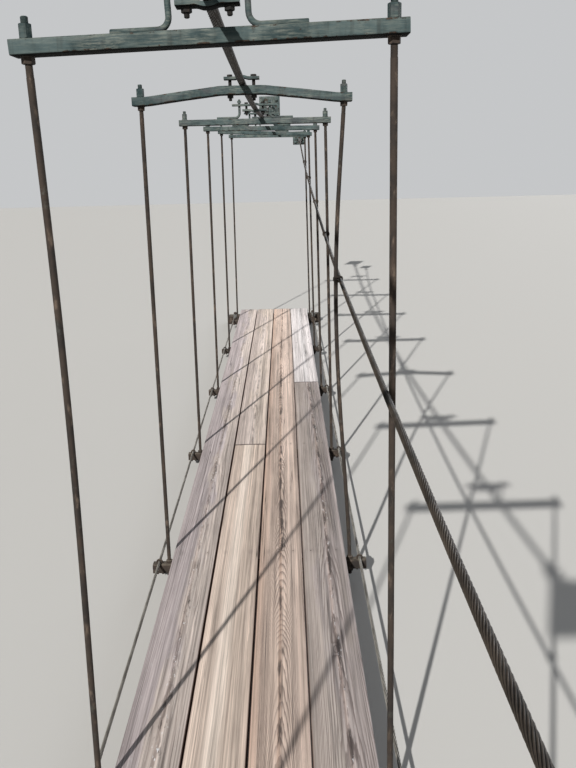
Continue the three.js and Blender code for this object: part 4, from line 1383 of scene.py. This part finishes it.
def hanger(side, i, top_master, foot_master):
    upright, span = upright_place(side, i)
    low = FOOT_THREAD - FOOT_TIP - SHANK_LAP
    high = span - (TOP_THREAD - TOP_TIP) + SHANK_LAP
    profile = []
    for k in range(SHANK_STEPS + 1):
        wander = noise.noise((side * 3.3, i * 2.1, k * 0.4)) * SHANK_WANDER
        profile.append((HANGER / 2 + wander, low + (high - low) * k / SHANK_STEPS))
    parts = [turned(profile, sides=20),
             copied(foot_master, turn(37 * i, "Z")),
             copied(top_master, move(z=span) @ turn(23 * i, "Z"))]
    hand = "left" if side < 0 else "right"
    piece = joined(f"rod_{hand}_{i}", parts)
    if (side, i) in ROD_BOW:
        for vertex in piece.data.vertices:
            vertex.co.x -= side * bow_of(side, i, 1 - vertex.co.z / span)
    return finish_piece(placed(piece, upright), RUSTY, "rusty_steel", f"hanger_{hand}_{i}")


top_master, foot_master = top_set(), foot_set()
masters += [top_master, foot_master]
hangers = [hanger(side, i, top_master, foot_master) for i in FRAMES for side in (-1, 1)]
painted = painted_top()
tops = []
for i in FRAMES:
    for side in (-1, 1):
        upright, span = upright_place(side, i)
        tops.append(copied(painted, upright @ move(z=span) @ turn(23 * i, "Z")))
throw_away(painted)
finish_piece(joined("hanger_tops", tops), GREEN, "green_painted_steel")
print("hangers:", len(hangers), "faces each:", len(hangers[0].data.polygons))

# %% [markdown]
# ## Wire ropes
#
# The two big ropes are spiral strands, with twelve thick wires laid round a core, and the side ropes have
# six thin strands. A round surface isn't enough, because the slant of the wires is what the eye reads.
# Circles for the wires and the core are drawn out straight with an Array modifier. Then every vertex is
# laid along the rope's route and turned by the lay, one turn in each lay length. Where round its wire a
# point lies, and how deep in the groove, are kept as attributes for the wire finish.

# %% Routes
ROUTE_STEP = 0.003


def reached_along(points):
    """How far along its line each point lies."""
    return np.concatenate(([0], np.cumsum(np.linalg.norm(np.diff(points, axis=0), axis=1))))


def even(points, step=ROUTE_STEP, smooth=0):
    """The route through these points at even steps, with its corners rounded over a number of steps."""
    points = np.array([tuple(point) for point in points], float)
    reached = reached_along(points)
    at = np.linspace(0, reached[-1], max(2, round(reached[-1] / step)) + 1)
    route = np.column_stack([np.interp(at, reached, points[:, axis]) for axis in range(3)])
    if smooth:
        ends = np.pad(route, ((smooth, smooth), (0, 0)), mode="reflect", reflect_type="odd")
        kernel = np.ones(2 * smooth + 1) / (2 * smooth + 1)
        route = np.column_stack([np.convolve(ends[:, axis], kernel, mode="valid") for axis in range(3)])
    return route


def curve_through(points, parts=24):
    """Points on a smooth curve through all the given points."""
    points = [Vector(point) for point in points]
    points = [points[0] * 2 - points[1], *points, points[-1] * 2 - points[-2]]
    route = []
    for before, start, end, after in zip(points, points[1:], points[2:], points[3:]):
        for k in range(parts):
            t = k / parts
            square = (2 * before - 5 * start + 4 * end - after) * t * t
            cube = (3 * start - before - 3 * end + after) * t ** 3
            route.append((2 * start + (end - before) * t + square + cube) / 2)
    return [*route, points[-2]]


def frames_along(route, side):
    """A tangent and two sideways directions at each point of a route, carried on without twisting."""
    tangents = np.gradient(route, axis=0)
    tangents /= np.linalg.norm(tangents, axis=1)[:, None]
    sides = np.empty_like(route)
    carried = np.array(tuple(side), float)
    for k, tangent in enumerate(tangents):
        carried = carried - tangent * carried.dot(tangent)
        carried /= np.linalg.norm(carried)
        sides[k] = carried
    return tangents, sides, np.cross(tangents, sides)


def lay_along(piece, route, side, lay=None):
    """Bend a piece that was drawn along +X onto a route, turning it once in each lay length."""
    place = vertex_places(piece.data).astype(float)
    count = len(place)
    _, sides, ups = frames_along(route, side)
    reached = reached_along(route)
    at = np.clip(place[:, 0] / place[:, 0].max(), 0, 1) * reached[-1]
    twist = 2 * math.pi * at / lay if lay else np.zeros(count)
    out = place[:, 1] * np.cos(twist) - place[:, 2] * np.sin(twist)
    up = place[:, 1] * np.sin(twist) + place[:, 2] * np.cos(twist)
    laid = np.empty((count, 3))
    for axis in range(3):
        laid[:, axis] = np.interp(at, reached, route[:, axis])
        laid[:, axis] += out * np.interp(at, reached, sides[:, axis])
        laid[:, axis] += up * np.interp(at, reached, ups[:, axis])
    piece.data.vertices.foreach_set("co", laid.astype(np.float32).ravel())
    piece.data.update()
    return piece


print("route helpers ready")

# %% Strands
def drawn_out(section, length, step):
    """Draw closed outlines in the YZ plane out along +X in equal steps, and close both ends."""
    with editing(section):
        bpy.ops.mesh.select_mode(type="EDGE")
        bpy.ops.mesh.select_all(action="SELECT")
        bpy.ops.mesh.extrude_edges_move(TRANSFORM_OT_translate={"value": (step, 0, 0)})
    repeated(section, round(length / step), (step, 0, 0), merge=step / 50)
    with editing(section):
        bpy.ops.mesh.select_all(action="SELECT")
        bpy.ops.mesh.fill_holes(sides=0)
        bpy.ops.mesh.select_all(action="SELECT")
        bpy.ops.mesh.normals_make_consistent(inside=False)
    return section


def ring(radius, sides, y=0.0):
    """A circle in the YZ plane."""
    upright = (0, math.pi / 2, 0)
    circle = started(bpy.ops.mesh.primitive_circle_add, vertices=sides, radius=radius, rotation=upright)
    return placed(circle, move(y=y))


def laid_rope(name, diameter, route, side, lay, strands, steps_in_lay):
    """Wires or strands laid round a core, along a route."""
    half_turn = math.sin(math.pi / strands)
    strand = diameter / 2 * half_turn / (1 + half_turn)
    centre = diameter / 2 - strand
    circle = ring(strand * 1.03, 6, centre)
    circles = [copied(circle, turn(360 * k / strands, "X")) for k in range(strands)]
    throw_away(circle)
    if strands > 6:
        circles.append(ring(centre - strand * 0.5, 8))
    rope = drawn_out(joined(name, circles), reached_along(route)[-1], lay / steps_in_lay)
    place = vertex_places(rope.data)
    sector = 2 * math.pi / strands
    home = np.round(np.arctan2(place[:, 2], place[:, 1]) / sector) * sector
    off_y = place[:, 1] - centre * np.cos(home)
    off_z = place[:, 2] - centre * np.sin(home)
    angle = np.arctan2(off_z, off_y) - home
    round_strand = np.column_stack((np.cos(angle), np.sin(angle), place[:, 0]))
    write_attribute(rope.data, "strand", "FLOAT_VECTOR", round_strand)
    write_attribute(rope.data, "groove", "FLOAT", np.hypot(place[:, 1], place[:, 2]) / (diameter / 2))
    return lay_along(rope, route, side, lay)


print("rope helpers ready")

# %% [markdown]
# ## Eyes, thimbles and grips
#
# Each rope ends in an eye: it turns round a steel thimble, comes back alongside itself and is held by
# wire rope grips. The route is worked out flat first, from the tail round the crown to the neck, and
# then stood up at the pin. The thimble is a channel that follows the same crown. A grip is a U-bolt with
# a saddle that has two nuts on it.

# %% Eye routes
# The inner radius of each rope's eye
MAIN_EYE, HAND_EYE, SIDE_EYE = 0.025, 0.018, 0.013
# An eye's neck in inner radii, the tail in rope diameters, and the thimble's thickness in metres
EYE_NECK, TAIL_LENGTH, THIMBLE = 3.4, 9, 0.0012
# The crown is drawn in straight steps, whose middles lie a little inside its circle
CROWN_STEPS, CROWN_FLATS = 28, 0.98
# How far the tail's middle lies under the rope's own, in rope diameters
TAIL_DROP = 1.02


def eye_line(inner, diameter):
    """The rope's middle line in the plane of the eye, from the tail's end to the neck, as (along, up)."""
    radius = inner + diameter / 2 + THIMBLE
    neck = EYE_NECK * inner
    drop = diameter * TAIL_DROP
    live = math.acos(radius / neck)
    tail = math.atan2(-drop, neck) - math.acos(radius / math.hypot(neck, drop))
    line = [(neck + TAIL_LENGTH * diameter, -drop), (neck + diameter, -drop)]
    for k in range(CROWN_STEPS + 1):
        angle = tail + (live - 2 * math.pi - tail) * k / CROWN_STEPS
        line.append((radius * math.cos(angle), radius * math.sin(angle)))
    return [*line, (neck + diameter, 0)]


def thimble_line(inner):
    """The middle line of the thimble's channel, round the crown and down to its point."""
    neck = EYE_NECK * inner * 0.86
    open_angle = math.acos(inner / neck)
    line = [(neck * 0.97, -inner * 0.12)]
    for k in range(CROWN_STEPS + 1):
        angle = -open_angle + (2 * open_angle - 2 * math.pi) * k / CROWN_STEPS
        line.append((inner * math.cos(angle), inner * math.sin(angle)))
    return [*line, (neck * 0.97, inner * 0.12)]


def eye_place(pin, towards, inner, pin_diameter, flat=False):
    """The matrix of an eye: X along the rope, Y across the eye, Z up in its plane."""
    along = (towards - pin).normalized()
    across = along.cross(Vector((0, 0, 1))).normalized()
    up = across.cross(along)
    if flat:
        across, up = -up, across
    middle = pin + along * (inner * CROWN_FLATS - pin_diameter / 2 - SEAT)
    axes = Matrix((along, across, up)).transposed().to_4x4()
    return Matrix.Translation(middle) @ axes


def stood_up(line, place):
    """The points of a flat (along, up) line, in an eye's plane."""
    return [place @ Vector((along, 0, up)) for along, up in line]


print("eye of the main rope:", [round(v, 3) for v in eye_line(MAIN_EYE, MAIN_ROPE)[0]])

# %% Thimbles and grips
SHEET = 0.0016
CHANNEL_SECTOR = math.radians(84)
SEIZING_WIRE, SEIZING_LENGTH = 0.0016, 0.013


def thimble(inner, diameter, place):
    """A channel bent round the inside of an eye, open towards the rope."""
    half = 7
    channel = ring(1, 2 * half, 0)
    for k, vertex in enumerate(channel.data.vertices):
        outside = k < half
        step = k if outside else 2 * half - 1 - k
        angle = math.pi + CHANNEL_SECTOR * (2 * step / (half - 1) - 1)
        radius = diameter / 2 + (SHEET if outside else 0)
        centre = diameter / 2 + SHEET / 2
        vertex.co = (0, centre + radius * math.cos(angle), radius * math.sin(angle))
    route = even(stood_up(thimble_line(inner), place), smooth=2)
    length = len(route) * ROUTE_STEP
    piece = drawn_out(channel, length, ROUTE_STEP * 1.5)
    inwards = place.to_3x3() @ Vector((0, 0, -1))
    return lay_along(piece, route, inwards)


def grip(diameter):
    """A wire rope grip about the live rope, with the tail under it: the nuts are on top."""
    rod = max(0.003, diameter * 0.2)
    inside = diameter * 0.5 + 0.0004
    drop = diameter * TAIL_DROP
    leg = drop + diameter * 0.95
    bolt = placed(u_bolt(inside, rod, leg, sides=8), move(z=-drop) @ turn(180, "Y"))
    width = 2 * (inside + 2 * rod) + rod * 1.6
    saddle = block((width, rod * 4.4, diameter * 0.62), (0, 0, diameter * 0.45), bevel=rod * 0.45)
    cut(saddle, placed(drill(diameter * 0.5, 0), turn(90, "X")))
    parts = [bolt, saddle]
    nut = hex_nut(rod * 3.4, rod * 1.7)
    for side in (-1, 1):
        parts.append(copied(nut, move(side * (inside + rod), 0, diameter * 0.76) @ turn(side * 20, "Z")))
    throw_away(nut)
    return placed(joined("grip", parts), turn(90, "Z"))


def end_fittings(name, inner, diameter, places, grips):
    """The thimbles and grips of one rope's eyes, as one piece."""
    master = grip(diameter)
    parts = []
    for place in places:
        parts.append(thimble(inner, diameter, place))
        for k in range(grips):
            along = EYE_NECK * inner + diameter * (1.6 + k * (TAIL_LENGTH - 2.6) / max(1, grips - 1))
            tilt = turn(noise.noise((k * 3.1, diameter * 900, 1.0)) * 5, "X")
            parts.append(copied(master, place @ move(x=along) @ tilt))
        seizing = threaded(diameter / 2 + 0.0012, SEIZING_WIRE, SEIZING_LENGTH, sides=14)
        tail_end = EYE_NECK * inner + (TAIL_LENGTH - 0.7) * diameter
        on_tail = place @ move(tail_end, 0, -diameter * TAIL_DROP) @ turn(90, "Y")
        parts.append(placed(seizing, on_tail))
    throw_away(master)
    return finish_piece(joined(name, parts), ZINCED, "wire_rope")


print("fittings ready")

# %% [markdown]
# ## The four ropes
#
# The main rope follows its parabola from anchor to anchor. The hand rope runs just inside the right
# hangers, through the heights read from the photograph, and climbs to its far anchor. It passes outside
# one hanger only, and has bent that one inwards. A thin rope is drawn straight along the bearer ends on
# each side, with its eyes laid flat on the end beams.

# %% Main rope and hand rope
HAND_ROPE = 0.016
HAND_ROPE_Z = [1.096, 1.104, 1.167, 1.219, 1.325, 1.458, 1.585]
HAND_ROPE_OUTSIDE = 2
MAIN_PIN, HAND_PIN, STUD = 0.028, 0.020, 0.020
# The thickness of an anchor's plate, and how far its pin stands off from the plate
MAIN_PLATE, MAIN_REACH = 0.015, 0.052
HAND_PLATE, HAND_REACH = 0.012, 0.038
MAIN_LAY, HAND_LAY, SIDE_LAY = 0.260, 0.170, 0.090


def pin_of(anchor, from_back, facing):
    """The middle of an anchor's pin, which stands off from the back of its plate."""
    low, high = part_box(anchor)
    y = low.y + from_back if facing > 0 else high.y - from_back
    return Vector(((low.x + high.x) / 2, y, (low.z + high.z) / 2))


# Wires or strands round the core, and steps in a lay length: of a spiral strand and of a side rope
SPIRAL, STRANDED = (12, 14), (6, 10)


def roped(name, node, diameter, inner, pin, lay, pins, middles, grips, wire,
          flat=False, smooth=5, build=SPIRAL):
    """A rope with an eye at each end, and its fittings."""
    nearest = (middles[0], middles[-1])
    places = [eye_place(at, towards, inner, pin, flat) for at, towards in zip(pins, nearest)]
    start, end = [stood_up(eye_line(inner, diameter), place) for place in places]
    route = even([*start, *middles, *reversed(end)], smooth=smooth)
    side = places[0].to_3x3() @ Vector((0, 1, 0))
    rope = laid_rope(name, diameter, route, side, lay, *build)
    finish_piece(rope, wire, "wire_rope", node)
    end_fittings(f"{name}_fittings", inner, diameter, places, grips)
    return rope


def both_pins(kind, from_back):
    return [pin_of(f"{kind}_anchor_near", from_back, 1), pin_of(f"{kind}_anchor_far", from_back, -1)]


main_pins = both_pins("main", MAIN_REACH + MAIN_PLATE)
main_run = np.linspace(deck_start - 0.60, deck_end + 0.60, 60)
main_rope = roped("main_rope", "main_cable", MAIN_ROPE, MAIN_EYE, MAIN_PIN, MAIN_LAY, main_pins,
                  [Vector((0, y, rope_z(y))) for y in main_run], 3, BROWN_WIRE)

hand_pins = both_pins("hand", HAND_REACH + HAND_PLATE)
hand_inset = (HANGER + HAND_ROPE) / 2 + SEAT


def on_right_hanger(i, z):
    """The middle of the right hanger of frame i at a height."""
    top, foot = hanger_line(1, i)
    share = (top.z - deck_top - z) / (top.z - foot.z)
    return Vector((top.x + (foot.x - top.x) * share - bow_of(1, i, share), frame_y[i], deck_top + z))


hand_shifts = [hand_inset if i == HAND_ROPE_OUTSIDE else -hand_inset for i in FRAMES]
hand_points = [on_right_hanger(i, z) + Vector((hand_shifts[i], 0, 0)) for i, z in enumerate(HAND_ROPE_Z)]
hand_run = curve_through([hand_pins[0], *hand_points, hand_pins[1]])
hand_middles = [point for point in hand_run if deck_start - 0.5 < point.y < deck_end + 0.5]
hand_rope = roped("hand_rope", "hand_cable", HAND_ROPE, HAND_EYE, HAND_PIN, HAND_LAY, hand_pins,
                  hand_middles, 3, GREY_WIRE)
print("rope faces:", len(main_rope.data.polygons), len(hand_rope.data.polygons))

# %% Side ropes and wire ties
TIE_WIRE = 0.0017
TIE_TURNS = 3
UNTIED_FRAME = 1

for hand, name in ((-1, "left"), (1, "right")):
    low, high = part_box(f"side_cable_{name}")
    z = (low.z + high.z) / 2
    pins = []
    for beam_name in ("end_beam_near", "end_beam_far"):
        beam_low, beam_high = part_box(beam_name)
        pins.append(Vector((hand * SIDE_ROPE_X, (beam_low.y + beam_high.y) / 2, z)))
    run = [pins[0].lerp(pins[1], share) for share in (0.05, 0.5, 0.95)]
    roped(f"side_rope_{name}", f"side_cable_{name}", SIDE_ROPE, SIDE_EYE, STUD, SIDE_LAY, pins, run,
          2, PALE_WIRE, flat=True, smooth=4, build=STRANDED)


def tie(middle, slant):
    """A few turns of thin wire round a hanger and the hand rope, slanting across them."""
    long_half = (HANGER + HAND_ROPE) / 4 + 0.0004
    wide = HANGER / 2 * 1.42 + TIE_WIRE
    points = []
    steps = 22 * TIE_TURNS
    for k in range(steps + 1):
        angle = 2 * math.pi * TIE_TURNS * k / steps
        reach = long_half * (1 if math.cos(angle) > 0 else -1) + (HANGER / 2 + TIE_WIRE) * math.cos(angle)
        spread = (k / steps - 0.5) * TIE_TURNS * TIE_WIRE * 2.1
        height = wide * math.sin(angle)
        forward, up = slant * height - spread, height + slant * spread
        points.append(middle + Vector((reach, forward * 0.7071, up * 0.7071)))
    route = even(points, smooth=1)
    wire = drawn_out(ring(TIE_WIRE, 6), len(route) * ROUTE_STEP, ROUTE_STEP)
    return lay_along(wire, route, Vector((0, 1, 0)))


ties = []
for i, point in enumerate(hand_points):
    if i == UNTIED_FRAME:
        continue
    middle = point - Vector((hand_shifts[i] / 2, 0, 0))
    ties += [tie(middle, 1), tie(middle, -1)]
finish_piece(joined("hand_rope_ties", ties), RUSTY, "wire_rope")
print("ties:", len(ties))

# %% [markdown]
# ## End beams
#
# A welded box beam lies under each end of the deck. Its ends are closed by plates that are set in a
# little, and a stud near each end holds the eye of a side rope between the beam and a washer.

# %% End beams
BEAM_END_INSET, BEAM_END_DEPTH = 0.006, 0.004
STUD_WASHER, STUD_WASHER_HEIGHT = 0.017, 0.004
STUD_NUT_FLATS, STUD_NUT_HEIGHT = 0.030, 0.014
STUD_THREAD, STUD_PITCH = 0.018, 0.0025

stud_nut = hex_nut(STUD_NUT_FLATS, STUD_NUT_HEIGHT)
masters.append(stud_nut)


def end_beam(name, node):
    low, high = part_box(node)
    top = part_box("cross_bearer_0")[1].z
    size = Vector((high.x - low.x, high.y - low.y, top - low.z))
    middle = Vector(((low.x + high.x) / 2, (low.y + high.y) / 2, (top + low.z) / 2))
    beam = block(size, middle, bevel=0.007, segments=3, edges=runs_along(0))
    with editing(beam):
        choose(beam, "FACE", lambda face: abs(face.normal.x) > 0.99)
        bpy.ops.mesh.inset(thickness=BEAM_END_INSET, use_individual=True)
        bpy.ops.mesh.extrude_faces_move(TRANSFORM_OT_shrink_fatten={"value": -BEAM_END_DEPTH})
    parts = [beam]
    washer_low = top + 2 * SEAT + SIDE_ROPE
    nut_low = washer_low + STUD_WASHER_HEIGHT
    for side in (-1, 1):
        x = side * SIDE_ROPE_X
        shank = turned([(STUD / 2, -0.004), (STUD / 2, SIDE_ROPE + 0.003)], sides=18)
        thread = rod_end(STUD / 2, STUD_THREAD, pitch=STUD_PITCH, sides=16)
        parts += [placed(shank, move(x, middle.y, top)),
                  placed(thread, move(x, middle.y, nut_low + 0.0005)),
                  placed(washer(STUD_WASHER, STUD_WASHER_HEIGHT), move(x, middle.y, washer_low)),
                  placed(washer(STUD / 2 + 0.004, 0.003), move(x, middle.y, top - 0.0015)),
                  copied(stud_nut, move(x, middle.y, nut_low) @ turn(14 * side, "Z"))]
    return finish_piece(joined(name, parts), RUSTY, "rusty_steel", node)


end_beams = [end_beam("deck_end_near", "end_beam_near"), end_beam("deck_end_far", "end_beam_far")]
print("end beam faces:", [len(piece.data.polygons) for piece in end_beams])

# %% [markdown]
# ## Rope anchors
#
# An anchor is a bolted plate with two cheeks and a pin between them. The cheek is a block whose two
# front edges are bevelled so far that they meet, which rounds its nose. It is welded to the plate all
# round, and each bolt has a washer and a threaded end.

# %% Anchors
# The plate's thickness, the pin's reach from it, the pin's diameter, the cheeks' thickness, the bolts'
# diameter and the rope's
ANCHORS = {
    "main": (MAIN_PLATE, MAIN_REACH, MAIN_PIN, 0.012, 0.020, MAIN_ROPE),
    "hand": (HAND_PLATE, HAND_REACH, HAND_PIN, 0.010, 0.014, HAND_ROPE),
}
CHEEK_HEIGHT, PIN_HEAD, PIN_HEAD_HEIGHT, CHEEK_PLAY = 2.4, 1.7, 0.012, 0.002
BOLT_HEAD, BOLT_END = 0.015, 0.011
PIN_WASHER, BOLT_WASHER = 0.0025, 0.003
# The width across the flats of a hexagon, as a share of the width across its corners
ACROSS_FLATS = 0.866


def cheek(x, thickness, reach, height):
    """A lug with a round nose about the pin, which is the origin; the plate is towards -Y."""
    length = reach + height / 2 + 0.001
    middle = (x, (height / 2 - reach - 0.001) / 2, 0)
    lug = block((thickness, length, height), middle, bevel=0.0, segments=1)
    with editing(lug):
        front = height / 2 - 1e-4
        choose(lug, "EDGE", lambda edge: runs_along(0)(edge) and min(v.co.y for v in edge.verts) > front)
        bpy.ops.mesh.bevel(offset=height / 2 - 0.0005, segments=12, affect="EDGES")
        choose(lug, "FACE", lambda face: abs(face.normal.x) > 0.99)
        bpy.ops.mesh.bevel(offset=0.0012, segments=2, affect="EDGES")
        mark_worn(lug)
    return close_up(lug)


def anchor(node, facing, thickness, reach, pin, cheek_thickness, bolt, rope):
    """An anchor about its pin, which is then set against its plate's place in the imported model."""
    low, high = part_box(node)
    width = high.x - low.x
    plate = block((width, thickness, width), (0, -reach - thickness / 2, 0), bevel=0.002, segments=2)
    parts = [plate]
    inside = rope / 2 + CHEEK_PLAY
    outside = inside + cheek_thickness
    height = CHEEK_HEIGHT * pin
    for side in (-1, 1):
        x = side * (inside + cheek_thickness / 2)
        parts.append(cheek(x, cheek_thickness, reach, height))
        for edge in (-1, 1):
            upright = move(x + edge * cheek_thickness / 2, -reach + 0.0012) @ turn(90, "Y")
            parts.append(placed(weld_bead(height * 0.96, radius=0.004), upright))
        outwards = turn(90 * side, "Y")
        head = hex_nut(pin * PIN_HEAD * ACROSS_FLATS, PIN_HEAD_HEIGHT - PIN_WASHER)
        parts += [placed(head, move(side * (outside + PIN_WASHER)) @ outwards),
                  placed(washer(pin * 0.82, PIN_WASHER), move(side * outside) @ outwards)]
    length = 2 * (outside + PIN_HEAD_HEIGHT + 0.002)
    tip, ease = pin * 0.44, 0.0012
    rod = turned([(tip, 0), (pin / 2, ease), (pin / 2, length - ease), (tip, length)], sides=24)
    parts.append(placed(rod, move(-length / 2) @ turn(90, "Y")))
    at = width / 2 - 2 * bolt
    nut = hex_nut(bolt * 2 * ACROSS_FLATS, BOLT_HEAD - BOLT_WASHER)
    end = rod_end(bolt / 2, BOLT_HEAD + BOLT_END, sides=14)
    under = washer(bolt * 1.05, BOLT_WASHER)
    corners = [(x, z) for x in (-at, at) for z in (-at, at)]
    for number, (x, z) in enumerate(corners, 1):
        out = move(x, -reach, z) @ turn(-90, "X")
        parts += [copied(under, out), copied(end, out),
                  copied(nut, out @ move(z=BOLT_WASHER) @ turn(17 * number, "Z"))]
    throw_away(nut, end, under)
    piece = joined(node.replace("anchor", "rope_anchor"), parts)
    y = low.y + reach + thickness if facing > 0 else high.y - reach - thickness
    place = move((low.x + high.x) / 2, y, (low.z + high.z) / 2) @ turn(0 if facing > 0 else 180, "Z")
    return finish_piece(placed(piece, place), GREEN, "green_painted_steel", node)


anchors = []
for kind, sizes in ANCHORS.items():
    anchors += [anchor(f"{kind}_anchor_near", 1, *sizes), anchor(f"{kind}_anchor_far", -1, *sizes)]
print("anchor faces:", [len(piece.data.polygons) for piece in anchors])

# %% Finish
throw_away(*masters)
